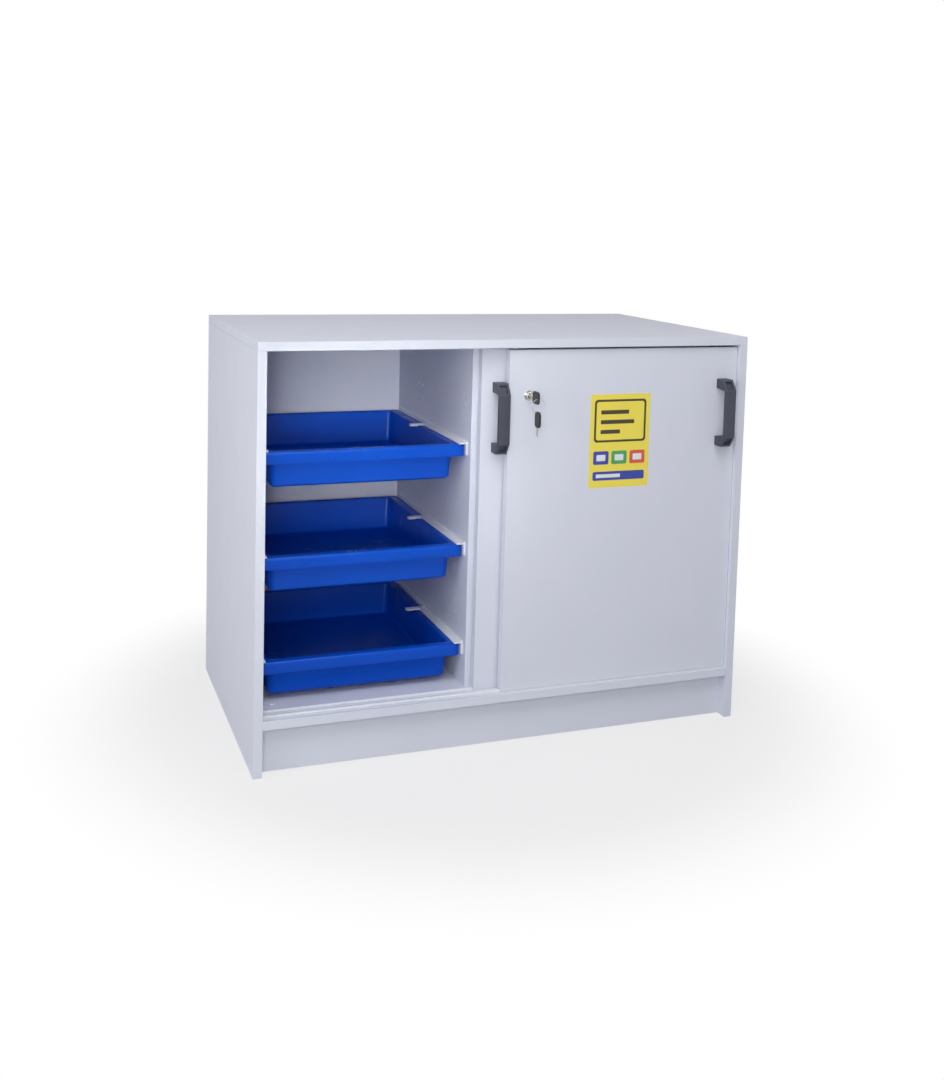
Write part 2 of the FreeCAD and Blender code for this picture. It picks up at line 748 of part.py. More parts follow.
def make_key(label, x, y, z, tilt):
    """A flat key with a moulded head and a cut blade, drawn hanging from its ring hole and then tilted about it."""
    key = new_body(label, x, y, z)
    key.Placement.Rotation = FreeCAD.Rotation(Vector(1, 0, 0), tilt)
    head = new_sketch(key, "YZ_Plane", -1 * d.key_head_thick / 2)
    half = d.key_head_width / 2
    head_end = d.key_hole_inset - d.key_head_length
    outline(head, soft_corners(-1 * half, head_end, 2 * half, d.key_head_length, d.key_corner))
    circle(head, 0, 0, d.key_hole_radius)
    pad(key, head, d.key_head_thick)

    blade = new_sketch(key, "YZ_Plane", -1 * d.key_blade_thick / 2)
    back, front = d.key_blade_width / 2, -1 * d.key_blade_width / 2
    tip = head_end - d.key_blade_length
    pitch = d.key_blade_length / (len(KEY_CUTS) + 1)
    cuts_in_blade = [(front + d.key_tooth, tip)]
    for index, share in enumerate(KEY_CUTS, start=1):
        cuts_in_blade.append((front, tip + pitch * (index - 0.5)))
        cuts_in_blade.append((front + d.key_tooth * share, tip + pitch * index))
    root = head_end + d.key_hole_inset
    outline(blade, [*cuts_in_blade, (front, head_end), (front, root), (back, root), (back, tip + d.key_tooth)])
    pad(key, blade, d.key_blade_thick)


def make_ring(x, y, z):
    """The key ring: a light loop of wire, its section carried round a path of short straight runs."""
    ring = new_body("key_ring", x, y, z)
    path = new_sketch(ring, "XZ_Plane")
    polygon(path, 0, 0, d.ring_radius, RING_FLATS)
    section = new_sketch(ring, "YZ_Plane")
    polygon(section, 0, ring_reach, d.ring_wire, HOLE_FLATS)
    loop = ring.newObject("PartDesign::AdditivePipe", "Pipe")
    loop.Profile = section
    loop.Spine = (path, [f"Edge{index}" for index in range(1, RING_FLATS + 1)])
    loop.Transition = "Right corner"


def make_keys():
    """The key in the lock, the wire ring through its head, and the spare key that hangs from the ring."""
    x = d.right_door_x + d.lock_inset
    hole_y = d.key_hole_inset - d.key_reach
    upright = 0
    make_key("door_key", x, hole_y, d.lock_z, upright + 90)
    ring_top = d.lock_z - d.key_hole_radius + d.ring_wire + d.ring_gap
    make_ring(x, hole_y, ring_top - ring_reach)
    ring_bottom = ring_top - 2 * ring_reach
    make_key("spare_key", x, hole_y, ring_bottom - d.key_hole_radius + d.ring_wire + d.ring_gap, upright)


def tray_outline(inset):
    """The tray's outer outline, drawn in by an inset."""
    return soft_corners(
        inset, inset, d.tray_width - 2 * inset, d.tray_length - 2 * inset, d.tray_corner - inset
    )


def front_corners(inset):
    """The stretch of the tray's outline round its two front corners, drawn in by an inset."""
    line = tray_outline(inset)
    return [(inset, d.tray_corner), *line[-CORNER_FLATS:], *line[:CORNER_FLATS], (d.tray_width - inset, d.tray_corner)]


def make_tray(label, x, floor):
    """A moulded retention tray: a tub with drafted walls under a flat rim with turned-down lips, deepest in front."""
    tray = new_body(label, x, d.tray_front_y, floor)
    top, wall = d.tray_depth, d.tray_wall
    rim_bottom = top - wall
    tub_x, tub_y = d.tray_side_rim, d.tray_front_rim
    tub_width = d.tray_width - 2 * tub_x
    tub_length = d.tray_length - tub_y - d.tray_back_rim

    plan = new_sketch(tray, "XY_Plane", top)
    outline(plan, soft_corners(tub_x, tub_y, tub_width, tub_length, d.tub_corner))
    block = pad(tray, plan, top, reverse=True)
    doc.recompute()
    draft = tray.newObject("PartDesign::Draft", "Draft")
    draft.Base = (block, names_of("Face", block.Shape.Faces, lambda face: face.BoundBox.ZLength > TOUCH))
    draft.NeutralPlane = (block, names_of("Face", block.Shape.Faces, lambda face: lies_at(face, top)))
    draft.Reversed = True
    draft.setExpression("Angle", "atan(Dims.tray_taper / Dims.tray_depth)")
    doc.recompute()
    floor_edges = names_of("Edge", draft.Shape.Edges, lambda edge: lies_at(edge, as_size(0)))
    bevel = chamfer(tray, draft, floor_edges, d.tub_floor_bevel)
    doc.recompute()
    shell = tray.newObject("PartDesign::Thickness", "Thickness")
    shell.Base = (bevel, names_of("Face", bevel.Shape.Faces, lambda face: lies_at(face, top)))
    shell.Join = "Intersection"
    shell.Reversed = True
    bind(shell, "Value", wall)

    rim = new_sketch(tray, "XY_Plane", rim_bottom)
    outline(rim, tray_outline(as_size(0)))
    mid_wall = wall / 2
    opening = soft_corners(
        tub_x + mid_wall, tub_y + mid_wall, tub_width - wall, tub_length - wall, d.tub_corner - mid_wall
    )
    outline(rim, opening)
    plate = pad(tray, rim, wall)
    doc.recompute()
    outer_edges = names_of(
        "Edge",
        plate.Shape.Edges,
        lambda edge: lies_at(edge, top) and not lies_inside(edge.CenterOfMass, wall.number * 2),
    )
    chamfer(tray, plate, outer_edges, d.tray_edge_bevel)

    lip = new_sketch(tray, "XY_Plane", top - d.tray_lip)
    outline(lip, tray_outline(as_size(0)))
    outline(lip, tray_outline(wall))
    pad(tray, lip, d.tray_lip - wall)
    skirt = new_sketch(tray, "XY_Plane", top - d.tray_front_lip)
    outline(skirt, [*front_corners(as_size(0)), *reversed(front_corners(wall))])
    pad(tray, skirt, d.tray_front_lip - wall)
    return tray


def twin(label, original, step_x, step_z):
    """Another piece of the same shape, a step to the right and up."""
    copy = doc.addObject("Part::Compound", label)
    copy.Label = label
    copy.Links = [original]
    bind(copy, "Placement.Base.x", step_x)
    bind(copy, "Placement.Base.z", step_z)
    subparts.append(copy)
    return copy


def lies_inside(point, inset):
    """Whether a point of a tray lies further than an inset from the tray's four outer sides."""
    return all(
        inset < place_ < side.number - inset
        for place_, side in ((point.x, d.tray_width), (point.y, d.tray_length))
    )


def make_runner(label, face_x, level, from_left):
    """A moulded runner: web on the panel, ledge for the tray rim, flange over it and the pull-out hook."""
    bottom = runner_middle - level * d.tray_pitch - d.runner_height / 2
    runner = new_body(label, face_x, d.runner_front_y, bottom)
    against = not from_left
    web = new_sketch(runner, "YZ_Plane")
    rectangle(web, 0, 0, d.runner_length, d.runner_height)
    for column in (d.pin_pitch, d.pin_span):
        polygon(
            web,
            d.pin_front + column - d.runner_front_y,
            d.runner_height / 2 - d.runner_screw_drop,
            d.runner_screw_radius,
            HOLE_FLATS,
        )
    pad(runner, web, d.runner_web, reverse=against)

    rim_top = d.tray_top_z - level * d.tray_pitch - bottom
    flange_z = rim_top + d.runner_flange_gap
    ledge_z = rim_top - d.tray_lip - d.ledge_gap - d.ledge_thick
    flange = new_sketch(runner, "YZ_Plane")
    rectangle(flange, 0, flange_z, d.runner_flange_length, d.runner_flange_thick)
    pad(runner, flange, d.runner_flange, reverse=against)
    ledge = new_sketch(runner, "YZ_Plane")
    rectangle(ledge, d.ledge_start, ledge_z, d.runner_length - d.ledge_start, d.ledge_thick)
    pad(runner, ledge, d.ledge_width + d.runner_web, reverse=against)
    hook = new_sketch(runner, "YZ_Plane")
    hook_y = d.runner_flange_length - d.hook_length
    rectangle(hook, hook_y, flange_z, d.hook_length, d.runner_flange_thick)
    pad(runner, hook, d.hook_reach, reverse=against)
    start = d.hook_reach - d.hook_lip
    lip = new_sketch(runner, "YZ_Plane", start if from_left else -1 * start)
    hook_end, nib_z = hook_y + d.hook_length, flange_z - d.hook_drop
    outline(lip, [(hook_y, flange_z), (hook_y + 2 * d.hook_drop, nib_z), (hook_end, nib_z), (hook_end, flange_z)])
    pad(runner, lip, d.hook_lip, reverse=against)


def make_runner_screws(label, face_x, from_left):
    """The screws that hold the runners of one board: head against the web, shank through it into the board."""
    front_y = d.pin_front + d.pin_pitch
    screws = new_body(label, face_x, front_y, lowest_screws, several=True)
    head_plane = d.runner_web if from_left else -1 * d.runner_web
    shank = new_sketch(screws, "YZ_Plane", head_plane)
    polygon(shank, 0, 0, d.runner_screw_radius, HOLE_FLATS)
    stem = pad(screws, shank, d.runner_web + d.pin_depth, reverse=from_left)
    head = new_sketch(screws, "YZ_Plane", head_plane)
    polygon(head, 0, 0, 2 * d.runner_screw_radius, HOLE_FLATS)
    cap = pad(screws, head, d.runner_screw_radius, reverse=not from_left)
    repeat(screws, (stem, cap), ("Y_Axis", d.pin_span - d.pin_pitch, 2), ("Z_Axis", d.tray_pitch, 3))


def make_tray_bays():
    """Both tray bays: three trays each, their runners on the two boards beside them, and the screws."""
    bays = {
        "left": (d.board, left_divider_x),
        "right": (right_divider_x + d.board, inner_right),
    }
    tray_inset = (d.tray_bay - d.tray_width) / 2
    first_tray = make_tray("left_tray_top", d.board + tray_inset, d.tray_top_z - d.tray_depth)
    for bay, (left_face, right_face) in bays.items():
        for name, level in tray_levels.items():
            if first_tray.Label != f"{bay}_tray_{name}":
                twin(f"{bay}_tray_{name}", first_tray, left_face - d.board, -1 * level * d.tray_pitch)
            make_runner(f"{bay}_bay_left_runner_{name}", left_face, level, True)
            make_runner(f"{bay}_bay_right_runner_{name}", right_face, level, False)
        make_runner_screws(f"{bay}_bay_left_runner_screws", left_face, True)
        make_runner_screws(f"{bay}_bay_right_runner_screws", right_face, False)


def make_caps():
    """Flat cover caps on the base board, one near the outer front corner of each tray bay."""
    caps = new_body("cover_caps", d.board + d.cap_inset, d.cap_y, base_top, several=True)
    plan = new_sketch(caps, "XY_Plane")
    polygon(plan, 0, 0, d.cap_radius, WHEEL_FLATS)
    cap = pad(caps, plan, d.cap_thick)
    repeat(caps, (cap,), ("X_Axis", inner_width - 2 * d.cap_inset, 2))


make_carcass()
make_dowels()
make_tracks()
make_door("left", d.left_door_open_x, d.rear_door_y, d.left_door_open_x + d.handle_inset + d.handle_width / 2, False)
make_door(
    "right",
    d.right_door_x,
    d.front_door_y,
    d.right_door_x + d.door_width - d.handle_inset - d.handle_width / 2,
    True,
)
make_lock()
make_keys()
make_tray_bays()
make_caps()
doc.recompute()

for thing in doc.Objects:
    if {"Invalid", "Error"} & set(thing.State):
        raise RuntimeError(f"{thing.Name} ({thing.Label}) failed: {thing.State}")
for cut in cuts:
    if cut.Shape.Volume > cut.BaseFeature.Shape.Volume - 0.1:
        raise RuntimeError(f"{cut.getParentGeoFeatureGroup().Label}: {cut.Name} cuts nothing")
for thing in subparts:
    if thing.Shape.isNull() or not thing.Shape.isValid() or thing.Shape.Volume <= 0:
        raise RuntimeError(f"{thing.Label}: its shape is empty or not valid")

os.makedirs("parts", exist_ok=True)
for thing in subparts:
    thing.Shape.exportStep(f"parts/{thing.Label}.step")
    box = thing.Shape.BoundBox
    print(f"{thing.Label}: {len(thing.Shape.Solids)} solids, x {box.XMin:.1f} {box.XMax:.1f}, "
          f"y {box.YMin:.1f} {box.YMax:.1f}, z {box.ZMin:.1f} {box.ZMax:.1f}")
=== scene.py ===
"""Looks of a laboratory cabinet for acids with two sliding doors and pull-out retention trays.

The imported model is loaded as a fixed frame. Every piece made here stands where its node stands, in metres.
"""

import json
import logging
import math
from collections.abc import Callable, Iterator
from contextlib import contextmanager
from dataclasses import dataclass, field
from enum import Enum

import bmesh
import bpy
from mathutils import Matrix, Vector

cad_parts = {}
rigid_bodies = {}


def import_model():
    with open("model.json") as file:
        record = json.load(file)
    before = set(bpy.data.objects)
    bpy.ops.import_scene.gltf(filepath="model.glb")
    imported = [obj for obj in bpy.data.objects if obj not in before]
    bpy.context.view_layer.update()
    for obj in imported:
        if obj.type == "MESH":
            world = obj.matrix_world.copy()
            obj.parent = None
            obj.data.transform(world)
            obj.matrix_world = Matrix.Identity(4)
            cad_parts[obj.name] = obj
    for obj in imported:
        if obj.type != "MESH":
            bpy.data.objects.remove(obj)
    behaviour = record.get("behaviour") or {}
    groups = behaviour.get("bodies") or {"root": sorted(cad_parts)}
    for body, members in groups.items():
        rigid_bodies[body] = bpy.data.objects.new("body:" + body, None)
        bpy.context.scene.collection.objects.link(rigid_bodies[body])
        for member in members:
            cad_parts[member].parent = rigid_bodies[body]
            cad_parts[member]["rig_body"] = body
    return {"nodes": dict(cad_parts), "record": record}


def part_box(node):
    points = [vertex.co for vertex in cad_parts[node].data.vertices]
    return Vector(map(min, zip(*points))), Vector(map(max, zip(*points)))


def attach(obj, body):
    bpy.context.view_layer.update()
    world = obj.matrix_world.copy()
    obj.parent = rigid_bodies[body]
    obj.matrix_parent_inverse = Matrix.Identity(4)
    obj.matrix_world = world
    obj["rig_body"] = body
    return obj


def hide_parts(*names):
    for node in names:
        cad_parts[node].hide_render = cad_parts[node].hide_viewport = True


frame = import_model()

log = logging.getLogger("acid_cabinet")

Pair = tuple[float, float]
Triple = tuple[float, float, float]
Test = Callable[[Vector, Vector], bool]

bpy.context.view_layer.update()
MM = 0.001

# Points closer than this count as one.
MERGE = 0.01 * MM

# A unit vector counts as lying along an axis from this part of it.
SQUARE_ON = 0.9

# Flats of a turned round before smoothing.
ROUND_SIDES = 64


class Side(Enum):
    """The two halves of the cabinet."""

    LEFT = "left"
    RIGHT = "right"


class Level(Enum):
    """The three rows of trays."""

    TOP = "top"
    MIDDLE = "middle"
    BOTTOM = "bottom"


class Facing(Enum):
    """Directions that a face of a piece can look in."""

    LEFT = (-1, 0, 0)
    RIGHT = (1, 0, 0)
    FRONT = (0, -1, 0)
    BACK = (0, 1, 0)
    DOWN = (0, 0, -1)
    UP = (0, 0, 1)

    def vector(self) -> Vector:
        """The direction as a vector."""
        return Vector(self.value)


class Ink(Enum):
    """Inks of the notice sheet: the colour and its clouds as the eye sees them, and the roughness."""

    YELLOW = ((238, 220, 88), (234, 216, 84), 0.3)
    DARK = ((62, 54, 30), (56, 49, 28), 0.35)
    WHITE = ((226, 231, 232), (220, 226, 228), 0.35)
    BLUE = ((58, 70, 160), (52, 64, 152), 0.35)
    GREEN = ((74, 160, 92), (68, 150, 86), 0.35)
    RED = ((214, 92, 74), (206, 86, 70), 0.35)


# Shader expressions


class Wire:
    """One output socket of a material's nodes, which Python's operators combine with others."""

    def __init__(self, nodes: "Nodes", socket: bpy.types.NodeSocket) -> None:
        """Keeps the socket and the nodes that it belongs to."""
        self.nodes = nodes
        self.socket = socket

    def math(self, operation: str, other: "Wire | float") -> "Wire":
        """Adds a Math node on this value and another."""
        return self.nodes.add("ShaderNodeMath", {"operation": operation}, {0: self, 1: other})

    def __add__(self, other: "Wire | float") -> "Wire":
        """This value plus another."""
        return self.math("ADD", other)

    __radd__ = __add__

    def __mul__(self, other: "Wire | float") -> "Wire":
        """This value times another."""
        return self.math("MULTIPLY", other)

    __rmul__ = __mul__

    def smooth_step(self, low: float, high: float) -> "Wire":
        """From 0 at low to 1 at high, with soft ends."""
        inputs = {"Value": self, "From Min": low, "From Max": high}
        return self.nodes.add("ShaderNodeMapRange", {"interpolation_type": "SMOOTHSTEP"}, inputs)


class Nodes:
    """The nodes of one material or world."""

    noise_roughness = 0.55

    def __init__(self, owner: bpy.types.Material | bpy.types.World) -> None:
        """Empties the node tree of a material or world.

        Args:
            owner: the material or world.
        """
        owner.use_nodes = True
        self.owner = owner
        self.tree = owner.node_tree
        self.tree.nodes.clear()

    def put(self, kind: str, settings: dict | None = None, inputs: dict | None = None) -> bpy.types.Node:
        """Adds a node.

        Args:
            kind: the node's type.
            settings: its properties, which are set before the inputs.
            inputs: values or wires by socket name or number.

        Returns:
            The node.
        """
        node = self.tree.nodes.new(kind)
        for name, value in (settings or {}).items():
            setattr(node, name, value)
        for name, value in (inputs or {}).items():
            if isinstance(value, Wire):
                self.tree.links.new(value.socket, node.inputs[name])
            else:
                node.inputs[name].default_value = value
        return node

    def add(
        self, kind: str, settings: dict | None = None, inputs: dict | None = None, output: int | str = 0
    ) -> Wire:
        """Adds a node and gives back the wire of one output, by its name or number."""
        return Wire(self, self.put(kind, settings, inputs).outputs[output])

    def place(self, stretch: Triple) -> Wire:
        """The surface point in the cabinet's own metres, stretched along each axis."""
        point = self.add("ShaderNodeTexCoord", output="Object")
        return self.add("ShaderNodeMapping", inputs={"Vector": point, "Scale": stretch})

    def noise(self, scale: float, detail: float = 3.0, stretch: Triple = (1, 1, 1)) -> Wire:
        """Cloudy noise from 0 to 1 with that many features per metre."""
        size = {"Scale": scale, "Detail": detail, "Roughness": self.noise_roughness}
        return self.add("ShaderNodeTexNoise", inputs={"Vector": self.place(stretch), **size})

    def blend(self, factor: Wire, first: Triple, second: Triple) -> Wire:
        """Mixes two colours.

        Args:
            factor: how much of the second colour there is, from 0 to 1.
            first: the colour at 0.
            second: the colour at 1.

        Returns:
            The mixed colour.
        """
        # The two colours of a Mix node are its sockets 6 and 7, and the mixed colour is its output 2.
        inputs = {0: factor, 6: (*first, 1.0), 7: (*second, 1.0)}
        return self.add("ShaderNodeMix", {"data_type": "RGBA", "clamp_factor": True}, inputs, output=2)

    def bump(self, height: Wire, depth: float) -> Wire:
        """Surface normals raised by a height from 0 to 1 over that many metres."""
        return self.add("ShaderNodeBump", inputs={"Height": height, "Distance": depth})

    def surface(self, inputs: dict) -> bpy.types.Material:
        """Ends a material with a Principled surface.

        Args:
            inputs: the surface's values or wires by socket name.

        Returns:
            The material.
        """
        shader = self.add("ShaderNodeBsdfPrincipled", inputs=inputs)
        self.put("ShaderNodeOutputMaterial", inputs={"Surface": shader})
        return self.owner


def new_material(name: str) -> Nodes:
    """The nodes of a new material, still empty."""
    return Nodes(bpy.data.materials.new(name))


# Finishes


def linear(red: float, green: float, blue: float) -> Triple:
    """A colour given as the eye sees it, from 0 to 255, in a shader's values, by the sRGB curve."""
    parts = (red / 255, green / 255, blue / 255)
    return tuple(p / 12.92 if p <= 0.04045 else ((p + 0.055) / 1.055) ** 2.4 for p in parts)


@dataclass(frozen=True)
class MelamineFinish:
    """Melamine-faced board: cool light grey with a fine pearled texture."""

    name: str = "melamine"
    colour: Triple = linear(216, 219, 230)
    cloud_colour: Triple = linear(214, 217, 229)
    cloud_scale: float = 11.0
    cloud_edges: Pair = (0.35, 0.7)
    pearl_scale: float = 700.0
    pearl_detail: float = 4.0
    pearl_depth: float = 0.06 * MM
    roughness: float = 0.5
    pearl_spread: float = 0.08
    gloss: float = 0.25

    def material(self) -> bpy.types.Material:
        """Makes the finish.

        Returns:
            The material.
        """
        nodes = new_material(self.name)
        pearl = nodes.noise(self.pearl_scale, self.pearl_detail)
        cloud = nodes.noise(self.cloud_scale).smooth_step(*self.cloud_edges)
        return nodes.surface(
            {
                "Base Color": nodes.blend(cloud, self.colour, self.cloud_colour),
                "Roughness": pearl * self.pearl_spread + self.roughness,
                "Specular IOR Level": self.gloss,
                "Normal": nodes.bump(pearl, self.pearl_depth),
            }
        )


@dataclass(frozen=True)
class PlasticFinish:
    """Moulded plastic: one colour, faint flow clouds and a fine grain."""

    name: str
    colour: Triple
    cloud_colour: Triple
    roughness: float
    grain_scale: float = 900.0
    grain_depth: float = 0.03 * MM
    grain_spread: float = 0.1
    cloud_scale: float = 12.0
    cloud_edges: Pair = (0.3, 0.75)
    cloud_spread: float = 0.05
    gloss: float = 0.5

    def material(self) -> bpy.types.Material:
        """Makes the finish.

        Returns:
            The material.
        """
        nodes = new_material(self.name)
        grain = nodes.noise(self.grain_scale)
        cloud = nodes.noise(self.cloud_scale).smooth_step(*self.cloud_edges)
        return nodes.surface(
            {
                "Base Color": nodes.blend(cloud, self.colour, self.cloud_colour),
                "Roughness": grain * self.grain_spread + cloud * self.cloud_spread + self.roughness,
                "Specular IOR Level": self.gloss,
                "Normal": nodes.bump(grain, self.grain_depth),
            }
        )


@dataclass(frozen=True)
class MetalFinish:
    """Bright or brushed metal with faint handling marks."""

    name: str
    colour: Triple
    roughness: float
    scratch_scale: float = 260.0
    scratch_depth: float = 0.01 * MM
    scratch_spread: float = 0.12
    stretch: Triple = (1, 1, 12)
    cloud_scale: float = 60.0
    cloud_shade: float = 0.86

    def material(self) -> bpy.types.Material:
        """Makes the finish.

        Returns:
            The material.
        """
        nodes = new_material(self.name)
        scratch = nodes.noise(self.scratch_scale, stretch=self.stretch)
        cloud = nodes.noise(self.cloud_scale)
        dulled = tuple(self.cloud_shade * part for part in self.colour)
        return nodes.surface(
            {
                "Base Color": nodes.blend(cloud, self.colour, dulled),
                "Metallic": 1.0,
                "Roughness": scratch * self.scratch_spread + self.roughness,
                "Normal": nodes.bump(scratch, self.scratch_depth),
            }
        )


@dataclass(frozen=True)
class WoodFinish:
    """Bare beech with short flecks that run up the grain."""

    name: str
    colour: Triple = linear(214, 182, 138)
    fleck_colour: Triple = linear(178, 138, 94)
    fleck_scale: float = 420.0
    fleck_edges: Pair = (0.45, 0.7)
    fleck_spread: float = 0.1
    fleck_depth: float = 0.05 * MM
    stretch: Triple = (1, 1, 0.12)
    roughness: float = 0.62

    def material(self) -> bpy.types.Material:
        """Makes the finish.

        Returns:
            The material.
        """
        nodes = new_material(self.name)
        fleck = nodes.noise(self.fleck_scale, stretch=self.stretch).smooth_step(*self.fleck_edges)
        return nodes.surface(
            {
                "Base Color": nodes.blend(fleck, self.colour, self.fleck_colour),
                "Roughness": fleck * self.fleck_spread + self.roughness,
                "Normal": nodes.bump(fleck, self.fleck_depth),
            }
        )


def plastic(name: str, colour: Triple, clouds: Triple, roughness: float, **more: float) -> bpy.types.Material:
    """A plastic whose two colours are given as the eye sees them, from 0 to 255."""
    return PlasticFinish(name, linear(*colour), linear(*clouds), roughness, **more).material()


def metal(name: str, colour: Triple, roughness: float) -> bpy.types.Material:
    """A metal whose colour is given as the eye sees it, from 0 to 255."""
    return MetalFinish(name, linear(*colour), roughness).material()


class Palette:
    """Every material of the cabinet, made once, by the record's slot names and by names of its own."""

    def __init__(self) -> None:
        """Makes the materials."""
        self.slots = {
            "melamine_board": MelamineFinish().material(),
            "track_plastic": plastic("track", (226, 229, 235), (219, 222, 230), 0.36),
            "wheel_plastic": plastic("wheel", (190, 190, 190), (178, 178, 180), 0.4),
            "handle_plastic": plastic(
                "handle", (62, 66, 78), (54, 58, 70), 0.42, grain_scale=1600, grain_depth=0.05 * MM
            ),
            "screw_steel": metal("screw", (200, 200, 202), 0.3),
            "tray_plastic": plastic(
                "tray", (0, 77, 194), (0, 74, 189), 0.17, grain_scale=500, grain_depth=0.01 * MM, gloss=0.18
            ),
            "runner_plastic": plastic("runner", (232, 234, 240), (224, 227, 235), 0.38),
            "lock_chrome": metal("lock", (206, 204, 202), 0.14),
            "key_plastic": plastic("key", (40, 41, 44), (32, 33, 36), 0.38),
            "ring_steel": metal("ring", (214, 214, 216), 0.2),
            "dowel_wood": WoodFinish("dowel").material(),
        }
        self.edge_band = plastic("edge_band", (216, 220, 231), (214, 218, 229), 0.5, gloss=0.2)
        self.guide = plastic("guide", (52, 54, 58), (46, 48, 52), 0.5)
        self.key_blade = metal("key_blade", (206, 204, 200), 0.22)
        self.inks = {ink: plastic(f"sticker_{ink.name.lower()}", *ink.value) for ink in Ink}


# Modelling


def use_only(piece: bpy.types.Object) -> None:
    """Leaves just one piece selected and active.

    Args:
        piece: the piece.
    """
    bpy.ops.object.select_all(action="DESELECT")
    piece.select_set(True)
    bpy.context.view_layer.objects.active = piece


def settle(piece: bpy.types.Object) -> None:
    """Moves the piece's place, turn and size into its mesh."""
    use_only(piece)
    bpy.ops.object.transform_apply(location=True, rotation=True, scale=True)


@contextmanager
def editing(piece: bpy.types.Object, mode: str = "FACE", everything: bool = False) -> Iterator[None]:
    """Edit mode on one piece.

    Args:
        piece: the piece.
        mode: what is picked in it: VERT, EDGE or FACE.
        everything: whether all of it is selected at first, instead of nothing.

    Yields:
        Nothing, once, while edit mode lasts.
    """
    use_only(piece)
    bpy.ops.object.mode_set(mode="EDIT")
    bpy.ops.mesh.select_mode(type=mode)
    bpy.ops.mesh.select_all(action="SELECT" if everything else "DESELECT")
    yield
    bpy.ops.object.mode_set(mode="OBJECT")


def pick_faces(piece: bpy.types.Object, test: Test) -> None:
    """Selects faces in edit mode.

    Args:
        piece: the piece that is edited.
        test: whether a face is selected, by its middle and normal.
    """
    mesh = bmesh.from_edit_mesh(piece.data)
    for face in mesh.faces:
        face.select_set(test(face.calc_center_median(), face.normal))
    bmesh.update_edit_mesh(piece.data)


def pick_edges(piece: bpy.types.Object, test: Test, open_only: bool = False) -> None:
    """Selects edges in edit mode.

    Args:
        piece: the piece that is edited.
        test: whether an edge is selected, by its middle and direction.
        open_only: whether only edges of a single face count.
    """
    mesh = bmesh.from_edit_mesh(piece.data)
    for edge in mesh.edges:
        first, second = (vertex.co for vertex in edge.verts)
        wanted = test((first + second) / 2, (second - first).normalized())
        edge.select_set(wanted and (edge.is_boundary or not open_only))
    bmesh.update_edit_mesh(piece.data)


def push_faces(step: Vector) -> None:
    """Extrudes the selected faces by a step, in edit mode."""
    bpy.ops.mesh.extrude_region_move(TRANSFORM_OT_translate={"value": step})


def push_edges(step: Vector) -> None:
    """Extrudes the selected edges by a step, in edit mode."""
    bpy.ops.mesh.extrude_edges_move(TRANSFORM_OT_translate={"value": step})


def resize(factors: Triple, middle: Vector) -> None:
    """Scales what is selected about a point, in edit mode."""
    bpy.ops.transform.resize(value=factors, center_override=tuple(middle))


def named(piece: bpy.types.Object, name: str) -> bpy.types.Object:
    """Gives a piece and its mesh a name.

    Args:
        piece: the piece.
        name: the name.

    Returns:
        The piece.
    """
    piece.name = name
    piece.data.name = name
    return piece


def block(name: str, low: Vector, high: Vector) -> bpy.types.Object:
    """A box, as the start of a piece.

    Args:
        name: the piece's name.
        low: the box's lowest corner.
        high: its highest corner.

    Returns:
        The piece.
    """
    bpy.ops.mesh.primitive_cube_add(size=1, location=(low + high) / 2, scale=high - low)
    piece = named(bpy.context.object, name)
    settle(piece)
    return piece


def drum(
    name: str, start: Vector, facing: Facing, radius: float, length: float, sides: int
) -> bpy.types.Object:
    """A cylinder, as the start of a piece.

    Args:
        name: the piece's name.
        start: the middle of its first end.
        facing: the direction in which it runs from there.
        radius: its radius.
        length: its length.
        sides: how many flats its round has.

    Returns:
        The piece.
    """
    bpy.ops.mesh.primitive_cylinder_add(
        vertices=sides,
        radius=radius,
        depth=length,
        location=start + facing.vector() * length / 2,
        rotation=Facing.UP.vector().rotation_difference(facing.vector()).to_euler(),
    )
    piece = named(bpy.context.object, name)
    settle(piece)
    return piece


def turned(name: str, centre: Vector, steps: list[Pair], ring: bool = False) -> bpy.types.Object:
    """Turns a round piece about a line along Y.

    Args:
        name: the piece's name.
        centre: the point that the steps are measured from.
        steps: radius and distance backwards of each step of the profile, in order.
        ring: whether the profile closes on itself, as on a ring, instead of ending in two flat faces.

    Returns:
        The piece.
    """
    profile = [*steps, steps[0]] if ring else steps
    radius, depth = profile[0]
    bpy.ops.mesh.primitive_circle_add(
        vertices=ROUND_SIDES,
        radius=radius,
        fill_type="NOTHING",
        location=centre + Vector((0, depth, 0)),
        rotation=(math.radians(90), 0, 0),
    )
    piece = named(bpy.context.object, name)
    settle(piece)
    with editing(piece, "EDGE", everything=True):
        for new_radius, new_depth in profile[1:]:
            push_edges(Vector((0, new_depth - depth, 0)))
            resize((new_radius / radius, 1, new_radius / radius), centre)
            radius, depth = new_radius, new_depth
    with editing(piece, "EDGE", everything=True):
        bpy.ops.mesh.remove_doubles(threshold=MERGE)
        for _, end in () if ring else (profile[0], profile[-1]):
            bpy.ops.mesh.select_all(action="DESELECT")
            pick_edges(piece, lambda middle, way: abs(middle.y - centre.y - end) < MERGE, open_only=True)
            bpy.ops.mesh.edge_face_add()
        bpy.ops.mesh.select_all(action="SELECT")
        bpy.ops.mesh.normals_make_consistent(inside=False)
    return piece


